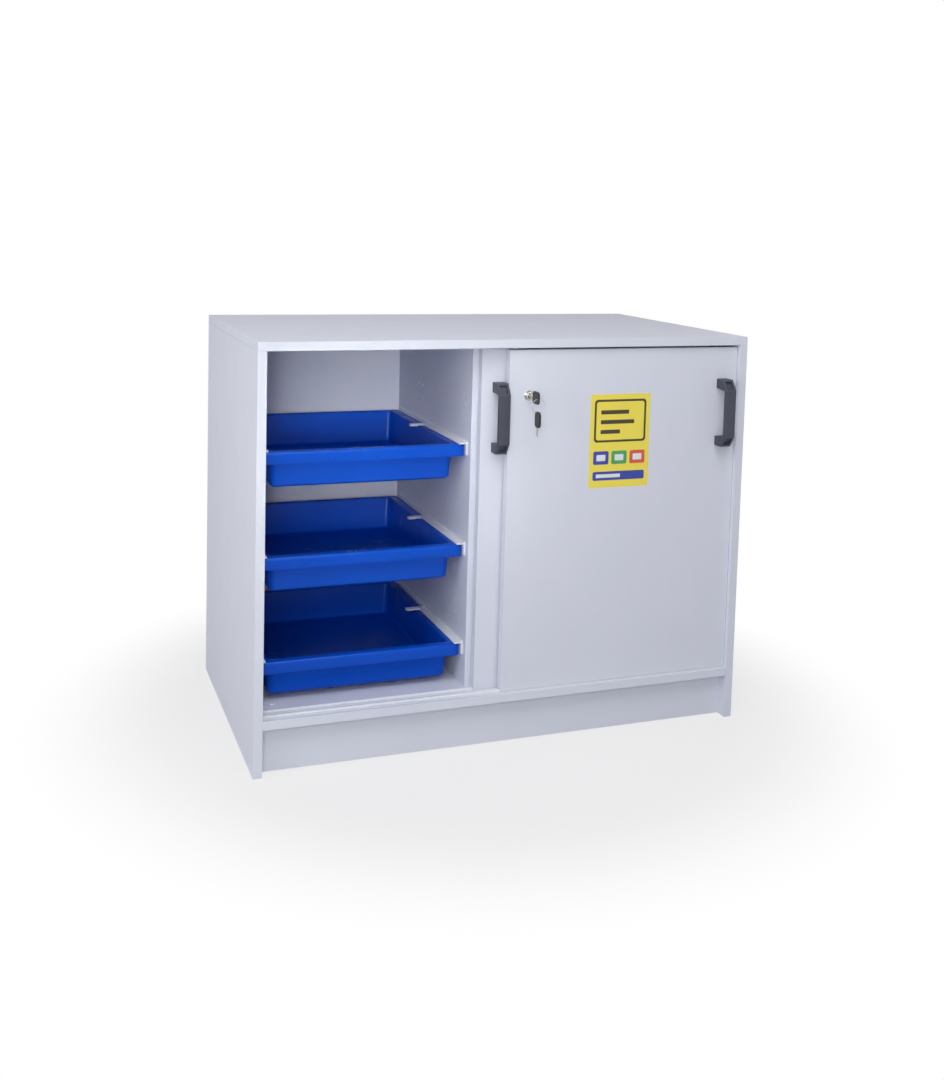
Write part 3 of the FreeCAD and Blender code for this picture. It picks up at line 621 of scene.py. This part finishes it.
def copy_of_node(node: str, name: str) -> bpy.types.Object:
    """Copies a node's mesh and merges its loose triangles into whole faces.

    Args:
        node: the node.
        name: the copy's name.

    Returns:
        The copy.
    """
    piece = named(bpy.data.objects.new(name, frame["nodes"][node].data.copy()), name)
    bpy.context.scene.collection.objects.link(piece)
    piece.data.materials.clear()
    use_only(piece)
    if piece.data.has_custom_normals:
        bpy.ops.mesh.customdata_custom_splitnormals_clear()
    with editing(piece, everything=True):
        bpy.ops.mesh.remove_doubles(threshold=MERGE)
        bpy.ops.mesh.dissolve_limited(angle_limit=math.radians(0.5))
    return piece


def finish_with(piece: bpy.types.Object, kind: str, **settings: object) -> None:
    """Adds a modifier and applies it.

    Args:
        piece: the piece.
        kind: the modifier's type.
        settings: its properties.
    """
    modifier = piece.modifiers.new(kind.title(), kind)
    for name, value in settings.items():
        setattr(modifier, name, value)
    use_only(piece)
    bpy.ops.object.modifier_apply(modifier=modifier.name)


def shade(piece: bpy.types.Object, angle: float = 35.0) -> None:
    """Smooth shading with hard edges past an angle in degrees."""
    use_only(piece)
    bpy.ops.object.shade_smooth_by_angle(angle=math.radians(angle))


def soften(piece: bpy.types.Object, width: float, segments: int = 2, angle: float = 30.0) -> None:
    """Rounds the sharp edges of a piece and shades it smooth.

    Args:
        piece: the piece.
        width: how far each rounding reaches from its edge.
        segments: how many strips it has.
        angle: from how many degrees an edge counts as sharp.
    """
    limit = {"limit_method": "ANGLE", "angle_limit": math.radians(angle), "use_clamp_overlap": True}
    finish_with(piece, "BEVEL", width=width, segments=segments, **limit)
    shade(piece)


def even_out(piece: bpy.types.Object) -> None:
    """Lets the large flat faces set the shading, so that they stay flat up to their eased edges."""
    finish_with(piece, "WEIGHTED_NORMAL", keep_sharp=True, weight=100)


def cut_away(piece: bpy.types.Object, cutter: bpy.types.Object) -> None:
    """Takes the cutter's shape out of a piece, and the cutter away."""
    finish_with(piece, "BOOLEAN", operation="DIFFERENCE", solver="EXACT", object=cutter)
    bpy.data.objects.remove(cutter)


def join(pieces: list[bpy.types.Object], name: str) -> bpy.types.Object:
    """Joins pieces into one.

    Args:
        pieces: the pieces.
        name: the joined piece's name.

    Returns:
        The joined piece.
    """
    use_only(pieces[0])
    for piece in pieces:
        piece.select_set(True)
    bpy.ops.object.join()
    return named(pieces[0], name)


def paint(piece: bpy.types.Object, *materials: bpy.types.Material) -> None:
    """Sets a piece's materials; the first covers it all until faces are given another.

    Args:
        piece: the piece.
        materials: the materials.
    """
    piece.data.materials.clear()
    for material in materials:
        piece.data.materials.append(material)


def seat(piece: bpy.types.Object, node: str) -> None:
    """Lets a piece stand for a node: on its body, and in its place.

    Args:
        piece: the finished piece.
        node: the node that it replaces.
    """
    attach(piece, frame["nodes"][node]["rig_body"])
    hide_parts(node)
    log.info("%s stands for %s", piece.name, node)


# The cabinet's sub-assemblies


@dataclass
class Boards:
    """The fixed boards and door leaves, with their edges eased and banded."""

    palette: Palette
    edge_radius: float = 0.9 * MM
    band_depth: float = 1.5 * MM
    banded: dict[str, tuple[Facing, ...]] = field(
        default_factory=lambda: {
            "top_panel": (Facing.FRONT, Facing.BACK, Facing.LEFT, Facing.RIGHT),
            "left_side_panel": (Facing.FRONT, Facing.BACK, Facing.DOWN),
            "right_side_panel": (Facing.FRONT, Facing.BACK, Facing.DOWN),
            "base_panel": (Facing.FRONT,),
            "back_panel": (),
            "plinth_front": (Facing.DOWN,),
            "plinth_rear": (Facing.DOWN,),
            "left_divider": (Facing.FRONT,),
            "right_divider": (Facing.FRONT,),
            "left_door": (Facing.LEFT, Facing.RIGHT, Facing.UP, Facing.DOWN),
            "right_door": (Facing.LEFT, Facing.RIGHT, Facing.UP, Facing.DOWN),
        }
    )

    def build(self) -> None:
        """Makes every board."""
        for node in self.banded:
            board = copy_of_node(node, f"{node}_board")
            soften(board, self.edge_radius)
            even_out(board)
            paint(board, self.palette.slots["melamine_board"], self.palette.edge_band)
            for facing in self.banded[node]:
                self.band(board, node, facing.vector())
            seat(board, node)

    def band(self, board: bpy.types.Object, node: str, way: Vector) -> None:
        """Gives the outermost faces on one side of a board the look of an edge band.

        Args:
            board: the board.
            node: the node that it stands for.
            way: the direction in which that side looks.
        """
        outermost = max(corner.dot(way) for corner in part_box(node)) - self.band_depth
        for face in board.data.polygons:
            if face.normal.dot(way) > 0.5 and face.center.dot(way) > outermost:
                face.material_index = 1


@dataclass
class PlainPieces:
    """Tracks, channels, guides, housings, wheels, runners, screws and caps: node copies with eased edges."""

    palette: Palette
    eased: dict[str, float] = field(
        default_factory=lambda: {
            "track_plastic": 0.25 * MM,
            "wheel_plastic": 0.3 * MM,
            "runner_plastic": 0.6 * MM,
            "screw_steel": 0.3 * MM,
        }
    )

    def build(self) -> None:
        """Copies each node whose slot is listed."""
        for part in frame["record"]["subparts"]:
            node, slot = part["node"], part["material_slot"]
            if slot in self.eased:
                piece = copy_of_node(node, f"{node}_piece")
                soften(piece, self.eased[slot])
                even_out(piece)
                paint(piece, self.palette.guide if "guides" in node else self.palette.slots[slot])
                seat(piece, node)


@dataclass
class RetentionTray:
    """A blue moulded tray: wide rim, down-turned lips, a deep rolled front lip and a tapered tub."""

    palette: Palette
    node: str
    wall: float = 3 * MM
    side_rim: float = 21 * MM
    front_rim: float = 18 * MM
    back_rim: float = 14 * MM
    corner: float = 12 * MM
    taper: float = 5 * MM
    lip: float = 8 * MM
    front_lip: float = 26 * MM
    floor_round: float = 6 * MM
    rim_round: float = 7 * MM
    mouth_round: float = 3.2 * MM
    edge_round: float = 0.5 * MM
    sharp_from: float = 60.0
    low: Vector = field(init=False)
    high: Vector = field(init=False)
    middle: Vector = field(init=False)
    mouth: Vector = field(init=False)

    def __post_init__(self) -> None:
        """Reads the node's box and works out the middle and the size of the tub's mouth."""
        self.low, self.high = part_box(self.node)
        aside = self.side_rim + self.wall
        front = self.low.y + self.front_rim + self.wall
        back = self.high.y - self.back_rim - self.wall
        first = Vector((self.low.x + aside, front, self.high.z))
        last = Vector((self.high.x - aside, back, self.high.z))
        self.middle = (first + last) / 2
        self.mouth = last - first

    def build(self) -> None:
        """Makes the tray as a skin, from its mouth outwards and down, and gives it its wall."""
        tray = self.rim()
        self.sink_tub(tray)
        self.round_edges(tray)
        shade(tray)
        finish_with(tray, "SOLIDIFY", thickness=self.wall, offset=-1.0, use_even_offset=True)
        soften(tray, self.edge_round, angle=self.sharp_from)
        paint(tray, self.palette.slots["tray_plastic"])
        seat(tray, self.node)

    def rim(self) -> bpy.types.Object:
        """Makes a flat plate in the mouth, the rim round it and the lips that turn down from it.

        Returns:
            The tray so far.
        """
        bpy.ops.mesh.primitive_plane_add(size=1, location=self.middle)
        tray = named(bpy.context.object, f"{self.node}_moulding")
        tray.scale = (self.mouth.x, self.mouth.y, 1)
        settle(tray)
        size = self.high - self.low
        aside = (self.low + self.high) / 2 - self.middle
        with editing(tray, "VERT", everything=True):
            bpy.ops.mesh.bevel(offset=self.corner, segments=7, affect="VERTICES")
        with editing(tray, "EDGE"):
            pick_edges(tray, lambda centre, way: True, open_only=True)
            push_edges(Vector((0, 0, 0)))
            resize((size.x / self.mouth.x, size.y / self.mouth.y, 1), self.middle)
            bpy.ops.transform.translate(value=(aside.x, aside.y, 0))
            push_edges(Vector((0, 0, -self.lip)))
        with editing(tray, "EDGE"):
            pick_edges(tray, lambda centre, way: centre.y < self.low.y + self.corner, open_only=True)
            push_edges(Vector((0, 0, self.lip - self.front_lip)))
        return tray

    def sink_tub(self, tray: bpy.types.Object) -> None:
        """Pushes the plate in the mouth down to the floor, narrower there, and rounds the floor's edge.

        Args:
            tray: the tray so far.
        """
        with editing(tray):
            pick_faces(tray, lambda centre, normal: (centre - self.middle).length < self.wall)
            push_faces(Vector((0, 0, self.low.z + self.wall - self.high.z)))
            resize((*(1 - 2 * self.taper / side for side in self.mouth.xy), 1), self.middle)
            bpy.ops.mesh.bevel(offset=self.floor_round, segments=4, affect="EDGES")

    def round_edges(self, tray: bpy.types.Object) -> None:
        """Rolls the rim's outer edge and rounds the edge of the mouth.

        Args:
            tray: the tray so far.
        """
        rim = (self.on_rim, self.rim_round, 5)
        mouth = (self.on_mouth, self.mouth_round, 3)
        for test, offset, segments in (rim, mouth):
            with editing(tray, "EDGE"):
                pick_edges(tray, test)
                bpy.ops.mesh.bevel(offset=offset, segments=segments, affect="EDGES")

    def on_rim(self, centre: Vector, way: Vector) -> bool:
        """Whether an edge's middle lies on the outer edge of the rim."""
        above, below = centre - self.low, self.high - centre
        return abs(below.z) < MERGE and min(above.x, above.y, below.x, below.y) < self.corner / 2

    def on_mouth(self, centre: Vector, way: Vector) -> bool:
        """Whether an edge's middle lies on the edge of the tub's mouth."""
        aside, reach = centre - self.middle, self.mouth / 2
        return all(abs(aside[axis]) < reach[axis] + MERGE for axis in range(3))


@dataclass
class BowHandle:
    """A dark moulded bow handle with sloped shoulders, each with a sunk pocket."""

    palette: Palette
    side: Side
    bar: float = 9 * MM
    foot: float = 20 * MM
    shoulder: float = 24 * MM
    slope_start: float = 27.5 * MM
    slope_lean: float = 0.3
    edge_radius: float = 2.3 * MM
    pocket_rim: float = 4.5 * MM
    pocket_depth: float = 7 * MM

    def build(self) -> None:
        """Cuts the handle out of a block and rounds it."""
        node = f"{self.side.value}_handle"
        low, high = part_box(node)
        handle = block(f"{node}_moulding", low, high)
        cut_away(handle, self.finger_room(low, high))
        self.slope_shoulders(handle, low, high)
        self.sink_pockets(handle)
        soften(handle, self.edge_radius, segments=4)
        paint(handle, self.palette.slots["handle_plastic"])
        seat(handle, node)

    def finger_room(self, low: Vector, high: Vector) -> bpy.types.Object:
        """Makes the room behind the bar as a cutter, shorter in front.

        Args:
            low: the handle's lowest corner.
            high: its highest corner.

        Returns:
            The cutter.
        """
        room = block(
            "finger_room",
            Vector((low.x - self.foot, low.y + self.bar, low.z + self.foot)),
            Vector((high.x + self.foot, high.y + self.foot, high.z - self.foot)),
        )
        height = high.z - low.z - 2 * self.foot
        with editing(room):
            pick_faces(room, lambda centre, normal: normal.y < -SQUARE_ON)
            resize((1, 1, (height - self.bar) / height), (low + high) / 2)
        return room

    def slope_shoulders(self, handle: bpy.types.Object, low: Vector, high: Vector) -> None:
        """Cuts the two shoulders off at a slope.

        Args:
            handle: the handle so far.
            low: its lowest corner.
            high: its highest corner.
        """
        for end, way in ((high.z, 1), (low.z, -1)):
            with editing(handle, everything=True):
                bpy.ops.mesh.bisect(
                    plane_co=(low.x, low.y, end - way * self.shoulder),
                    plane_no=(0, -self.shoulder, way * (high.y - self.slope_start - low.y)),
                    use_fill=True,
                    clear_outer=True,
                )

    def sink_pockets(self, handle: bpy.types.Object) -> None:
        """Sinks a pocket into each sloped shoulder.

        Args:
            handle: the handle so far.
        """
        lean = self.slope_lean
        for way in (1, -1):
            with editing(handle):
                pick_faces(handle, lambda centre, normal: normal.y < -lean and normal.z * way > lean)
                bpy.ops.mesh.inset(thickness=self.pocket_rim)
                mesh = bmesh.from_edit_mesh(handle.data)
                inward = next(-face.normal for face in mesh.faces if face.select)
                push_faces(inward * self.pocket_depth)


@dataclass
class PushLock:
    """A chrome push lock: a lipped housing, a plunger with an eased nose and the core that the key turns."""

    palette: Palette
    lip: float = 0.5 * MM
    flange: float = 1.5 * MM
    flange_radius: float = 12 * MM
    body_radius: float = 11 * MM
    plunger_radius: float = 9 * MM
    bolt_radius: float = 4 * MM
    bolt_room: float = 0.05 * MM
    back_wall: float = 3 * MM
    core_radius: float = 5 * MM
    core_length: float = 12 * MM
    core_proud: float = 0.4 * MM
    plunger_body: float = 20.9 * MM
    nose_round: float = 0.8 * MM
    key_slot: Pair = (2 * MM, 8 * MM)
    slot_depth: float = 9 * MM
    sharp_from: float = 25.0

    def build(self) -> None:
        """Turns the housing, the plunger and the core about the lock's own line."""
        self.housing()
        self.plunger()
        self.core()

    def axis_of(self, node: str) -> tuple[Vector, float]:
        """The front middle of a round node, and its depth along Y."""
        low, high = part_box(node)
        return Vector(((low.x + high.x) / 2, low.y, (low.z + high.z) / 2)), high.y - low.y

    def finish(self, piece: bpy.types.Object, node: str) -> None:
        """Shades a turned piece, gives it chrome and seats it.

        Args:
            piece: the turned piece.
            node: the node that it stands for.
        """
        shade(piece, self.sharp_from)
        paint(piece, self.palette.slots["lock_chrome"])
        seat(piece, node)

    def housing(self) -> None:
        """The housing: a ring let into the door with a lip in front and a wall behind."""
        centre, depth = self.axis_of("lock_housing")
        bore = self.plunger_radius + self.bolt_room
        hole = self.bolt_radius + self.bolt_room
        profile = [
            (bore, self.lip),
            (bore + self.lip, 0),
            (self.flange_radius - self.lip, 0),
            (self.flange_radius, self.lip),
            (self.flange_radius, self.flange),
            (self.body_radius, self.flange),
            (self.body_radius, depth),
            (hole, depth),
            (hole, depth - self.back_wall),
            (bore, depth - self.back_wall),
        ]
        self.finish(turned("lock_housing_ring", centre, profile, ring=True), "lock_housing")

    def plunger(self) -> None:
        """The plunger: a nose with a bore for the core, and the bolt behind it."""
        centre, depth = self.axis_of("lock_plunger")
        bore = self.core_radius + self.bolt_room
        profile = [
            (bore, self.core_length - self.core_proud),
            (bore, self.lip),
            (bore + self.lip, 0),
            (self.plunger_radius - self.nose_round, 0),
            (self.plunger_radius - self.nose_round / 3, self.nose_round / 3),
            (self.plunger_radius, self.nose_round),
            (self.plunger_radius, self.plunger_body),
            (self.bolt_radius, self.plunger_body),
            (self.bolt_radius, depth - self.lip),
            (self.bolt_radius - self.lip, depth),
        ]
        self.finish(turned("lock_plunger_barrel", centre, profile), "lock_plunger")

    def core(self) -> None:
        """The core: a small drum with an eased rim and a slot for the key's blade."""
        centre, depth = self.axis_of("lock_core")
        ease = self.lip / 2
        profile = [(self.core_radius - ease, 0), (self.core_radius, ease), (self.core_radius, depth)]
        core = turned("lock_core_drum", centre, profile)
        wide, high = (size / 2 for size in self.key_slot)
        front = centre + Vector((-wide, -self.lip, -high))
        cut_away(core, block("key_slot", front, centre + Vector((wide, self.slot_depth, high))))
        self.finish(core, "lock_core")


@dataclass
class CabinetKey:
    """A key with a crowned, round-cornered plastic head on a cut metal blade."""

    palette: Palette
    node: str
    pointing: Facing
    head_length: float = 34 * MM
    corner: float = 8 * MM
    crown: float = 1.0 * MM
    crown_inset: float = 2.5 * MM
    hole_inset: float = 4.5 * MM
    hole_radius: float = 2.5 * MM
    hole_sides: int = 32
    head_round: float = 0.6 * MM
    blade_round: float = 0.25 * MM

    def build(self) -> None:
        """Makes the head and the blade and joins them into one key."""
        low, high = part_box(self.node)
        way = self.pointing.vector()
        along = 1 if self.pointing is Facing.BACK else 2
        outer_end = low[along] if way[along] > 0 else high[along]
        head_end = outer_end + way[along] * self.head_length
        if way[along] > 0:
            high[along] = head_end
        else:
            low[along] = head_end
        head = self.head(low, high, outer_end, along, way[along])
        key = join([head, self.blade(head_end, along, way)], f"{self.node}_cut")
        seat(key, self.node)

    def head(self, low: Vector, high: Vector, outer_end: float, along: int, way: float) -> bpy.types.Object:
        """Makes the moulded head with its ring hole.

        Args:
            low: the head's lowest corner.
            high: its highest corner.
            outer_end: where its end away from the blade lies.
            along: the number of the axis that the key lies along.
            way: the direction of the blade on that axis.

        Returns:
            The head.
        """
        head = block(f"{self.node}_head", low, high)
        middle, thick = (low + high) / 2, high.x - low.x
        with editing(head, "EDGE"):
            pick_edges(head, lambda centre, line: abs(line.x) > SQUARE_ON)
            bpy.ops.mesh.bevel(offset=self.corner, segments=6, affect="EDGES")
        with editing(head):
            pick_faces(head, lambda centre, normal: abs(normal.x) > SQUARE_ON)
            bpy.ops.mesh.inset(thickness=self.crown_inset)
            resize(((thick + 2 * self.crown) / thick, 1, 1), middle)
        start = middle - Vector((self.corner, 0, 0))
        start[along] = outer_end + way * self.hole_inset
        hole = drum("ring_hole", start, Facing.RIGHT, self.hole_radius, 2 * self.corner, self.hole_sides)
        cut_away(head, hole)
        soften(head, self.head_round, segments=3)
        even_out(head)
        paint(head, self.palette.slots["key_plastic"])
        return head

    def blade(self, head_end: float, along: int, way: Vector) -> bpy.types.Object:
        """Takes the blade with its cuts from the node, on the far side of the head's end.

        Args:
            head_end: where the head ends.
            along: the number of the axis that the key lies along.
            way: the direction of the blade.

        Returns:
            The blade.
        """
        blade = copy_of_node(self.node, f"{self.node}_blade")
        cut = Vector((0, 0, 0))
        cut[along] = head_end - way[along] * self.crown
        with editing(blade, everything=True):
            bpy.ops.mesh.bisect(plane_co=tuple(cut), plane_no=tuple(-way), use_fill=True, clear_outer=True)
        soften(blade, self.blade_round)
        paint(blade, self.palette.key_blade)
        return blade


@dataclass
class KeyRing:
    """A split ring: two turns of thin wire that lie against each other."""

    palette: Palette
    node: str = "key_ring"
    wire: float = 0.36 * MM
    round_segments: int = 72
    wire_segments: int = 12
    sharp_from: float = 60.0

    def build(self) -> None:
        """Turns the two windings of the ring."""
        low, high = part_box(self.node)
        windings = []
        for way in (-1, 1):
            bpy.ops.mesh.primitive_torus_add(
                major_radius=(high.x - low.x) / 2 - 2 * self.wire,
                minor_radius=self.wire,
                major_segments=self.round_segments,
                minor_segments=self.wire_segments,
                location=(low + high) / 2 + Vector((0, way * self.wire, 0)),
                rotation=(math.radians(90), 0, 0),
            )
            winding = bpy.context.object
            settle(winding)
            shade(winding, self.sharp_from)
            windings.append(winding)
        ring = join(windings, "key_ring_windings")
        paint(ring, self.palette.slots["ring_steel"])
        seat(ring, self.node)


@dataclass(frozen=True)
class Film:
    """One thin film of the notice sheet, in millimetres from the sheet's left and top edges.

    Layer 0 is the sheet itself, layer 1 the ink on it, layer 2 the ink on that, and so on.
    """

    left: float
    top: float
    width: float
    height: float
    corner: float
    ink: Ink
    layer: int


@dataclass
class NoticeSheet:
    """A plain A5 adhesive sheet on the front door: yellow with coloured fields and no lettering."""

    palette: Palette
    node: str = "right_door"
    from_left: float = 196 * MM
    from_top: float = 101.5 * MM
    thick: float = 0.2 * MM
    print_step: float = 0.06 * MM
    sharp_from: float = 25.0
    films: tuple[Film, ...] = (
        Film(0, 0, 148, 210.5, 2.5, Ink.YELLOW, 0),
        Film(10, 12, 128, 96, 8, Ink.DARK, 1),
        Film(15, 17, 118, 86, 5, Ink.YELLOW, 2),
        Film(26, 36, 69.12, 9, 1, Ink.DARK, 3),
        Film(26, 58, 82.56, 9, 1, Ink.DARK, 3),
        Film(26, 80, 48, 9, 1, Ink.DARK, 3),
        Film(10, 128, 38, 30, 4, Ink.BLUE, 1),
        Film(18, 136, 22, 14, 2, Ink.WHITE, 2),
        Film(55, 128, 38, 30, 4, Ink.GREEN, 1),
        Film(63, 136, 22, 14, 2, Ink.WHITE, 2),
        Film(100, 128, 38, 30, 4, Ink.RED, 1),
        Film(108, 136, 22, 14, 2, Ink.WHITE, 2),
        Film(10, 174, 128, 20, 4, Ink.BLUE, 1),
        Film(18, 180, 60, 8, 1, Ink.WHITE, 2),
    )

    def build(self) -> None:
        """Lays the films on the door's face and on one another, as one sheet."""
        sheet = join([self.lay(film) for film in self.films], "notice_sheet")
        shade(sheet, self.sharp_from)
        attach(sheet, frame["nodes"][self.node]["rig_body"])
        log.info("%s lies on %s", sheet.name, self.node)

    def lay(self, film: Film) -> bpy.types.Object:
        """Makes one film with rounded corners in its place.

        Args:
            film: the film.

        Returns:
            The piece.
        """
        low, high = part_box(self.node)
        left = low.x + self.from_left + film.left * MM
        top = high.z - self.from_top - film.top * MM
        front = low.y - self.thick - film.layer * self.print_step
        back = front + (self.print_step if film.layer else self.thick)
        bottom = top - film.height * MM
        piece = block("film", Vector((left, front, bottom)), Vector((left + film.width * MM, back, top)))
        with editing(piece, "EDGE"):
            pick_edges(piece, lambda centre, way: abs(way.y) > SQUARE_ON)
            bpy.ops.mesh.bevel(offset=film.corner * MM, segments=6, affect="EDGES")
        paint(piece, self.palette.inks[film.ink])
        return piece


@dataclass(frozen=True)
class Softbox:
    """A square lamp that looks at a target, its beam narrowed to a spread in degrees."""

    name: str
    place: Triple
    target: Triple
    size: float
    watts: float
    spread: float = 180.0

    def hang(self) -> None:
        """Adds the lamp to the scene."""
        light = bpy.data.lights.new(self.name, "AREA")
        light.size = self.size
        light.energy = self.watts
        light.spread = math.radians(self.spread)
        lamp = bpy.data.objects.new(self.name, light)
        bpy.context.scene.collection.objects.link(lamp)
        lamp.location = self.place
        lamp.rotation_euler = (Vector(self.target) - Vector(self.place)).to_track_quat("-Z", "Y").to_euler()


@dataclass(frozen=True)
class Studio:
    """The floor, the lamps and the camera of the photograph."""

    lamps: tuple[Softbox, ...] = (
        Softbox("front", (-1.2, -2.8, 1.3), (-0.1, 0, 0.6), 1.2, 26),
        Softbox("bay", (-1.1, -2.95, 0.95), (-0.17, 0.25, 0.64), 0.4, 0.28, spread=15),
        Softbox("side", (-3.0, -0.8, 1.5), (-0.5, 0, 0.5), 2.0, 33),
        Softbox("top", (-0.3, -1.7, 2.7), (-0.1, -0.1, 0.9), 1.4, 26),
        Softbox("rear", (2.8, 2.3, 0.6), (0.2, 0.1, 0.45), 1.2, 38),
    )
    white: Triple = (1.0, 1.0, 1.0)
    floor_size: float = 60.0
    paper: Triple = (0.55, 0.55, 0.56)
    near_white: float = 0.7
    fade: Pair = (0.62, 1.05)
    room: Triple = (0.93, 0.95, 1.0)
    room_strength: float = 0.31
    camera_place: Triple = (-1.026, -2.7432, 1.1599)
    azimuth: float = math.radians(20.471)
    down: float = math.radians(4.955)
    roll: float = math.radians(1.521)
    focal_px: float = 1243.43
    frame_height_px: float = 1080
    sensor: float = 36.0
    shift: float = -0.2

    def build(self) -> None:
        """Makes them all."""
        self.floor()
        self.world()
        for lamp in self.lamps:
            lamp.hang()
        self.camera()

    def seen(self, nodes: Nodes) -> Wire:
        """Tells a look at the surroundings from the light that they give.

        Args:
            nodes: the nodes of the floor or of the world.

        Returns:
            1 for the camera, glossy surfaces and glass, and 0 for the rest.
        """
        path = nodes.put("ShaderNodeLightPath")
        camera, glossy, glass = (
            Wire(nodes, path.outputs[f"Is {kind} Ray"]) for kind in ("Camera", "Glossy", "Transmission")
        )
        return camera + glossy + glass

    def floor(self) -> None:
        """A pale floor that keeps the cabinet's shadow near it and fades to white further out."""
        bpy.ops.mesh.primitive_plane_add(size=self.floor_size, location=(0, 0, 0))
        floor = named(bpy.context.object, "studio_floor")
        settle(floor)
        nodes = new_material("floor")
        paper = nodes.add("ShaderNodeBsdfDiffuse", inputs={"Color": (*self.paper, 1.0)})
        glow = nodes.add("ShaderNodeEmission", inputs={"Color": (*self.white, 1.0), "Strength": 1.0})
        point = nodes.add("ShaderNodeTexCoord", output="Object")
        distance = nodes.add("ShaderNodeVectorMath", {"operation": "LENGTH"}, {0: point}, output="Value")
        white = distance.smooth_step(*self.fade) * (1 - self.near_white) + self.near_white
        shader = nodes.add("ShaderNodeMixShader", inputs={0: white * self.seen(nodes), 1: paper, 2: glow})
        nodes.put("ShaderNodeOutputMaterial", inputs={"Surface": shader})
        paint(floor, nodes.owner)

    def world(self) -> None:
        """An even white room light, plain white where the camera and glossy surfaces see it."""
        world = bpy.data.worlds.new("studio")
        bpy.context.scene.world = world
        nodes = Nodes(world)
        room = {"Color": (*self.room, 1.0), "Strength": self.room_strength}
        light = nodes.add("ShaderNodeBackground", inputs=room)
        white = nodes.add("ShaderNodeBackground", inputs={"Color": (*self.white, 1.0)})
        shader = nodes.add("ShaderNodeMixShader", inputs={0: self.seen(nodes), 1: light, 2: white})
        nodes.put("ShaderNodeOutputWorld", inputs={"Surface": shader})

    def camera(self) -> None:
        """The camera where the photograph's was, with its turn, lean and framing."""
        level = math.cos(self.down)
        ahead = Vector((math.sin(self.azimuth) * level, math.cos(self.azimuth) * level, -math.sin(self.down)))
        right = ahead.cross(Facing.UP.vector()).normalized()
        up = right.cross(ahead)
        leaning = right * math.cos(self.roll) + up * math.sin(self.roll)
        upright = up * math.cos(self.roll) - right * math.sin(self.roll)
        turn = Matrix((leaning, upright, -ahead)).transposed()
        data = bpy.data.cameras.new("camera")
        data.sensor_width = self.sensor
        data.lens = self.focal_px / self.frame_height_px * self.sensor
        data.shift_y = self.shift
        camera = bpy.data.objects.new("camera", data)
        bpy.context.scene.collection.objects.link(camera)
        camera.matrix_world = Matrix.Translation(self.camera_place) @ turn.to_4x4()
        bpy.context.scene.camera = camera


def dress_nodes(palette: Palette) -> None:
    """Gives every node that stays in view the material of its slot."""
    for part in frame["record"]["subparts"]:
        paint(frame["nodes"][part["node"]], palette.slots[part["material_slot"]])


def main() -> None:
    """Builds the sub-assemblies in order."""
    logging.basicConfig(level=logging.INFO, format="%(name)s: %(message)s")
    bpy.context.scene.view_settings.view_transform = "Standard"
    palette = Palette()
    dress_nodes(palette)
    Boards(palette).build()
    PlainPieces(palette).build()
    for side in Side:
        for level in Level:
            RetentionTray(palette, f"{side.value}_tray_{level.value}").build()
        BowHandle(palette, side).build()
    PushLock(palette).build()
    CabinetKey(palette, "door_key", Facing.BACK).build()
    CabinetKey(palette, "spare_key", Facing.DOWN).build()
    KeyRing(palette).build()
    NoticeSheet(palette).build()
    Studio().build()


if __name__ == "__main__":
    main()
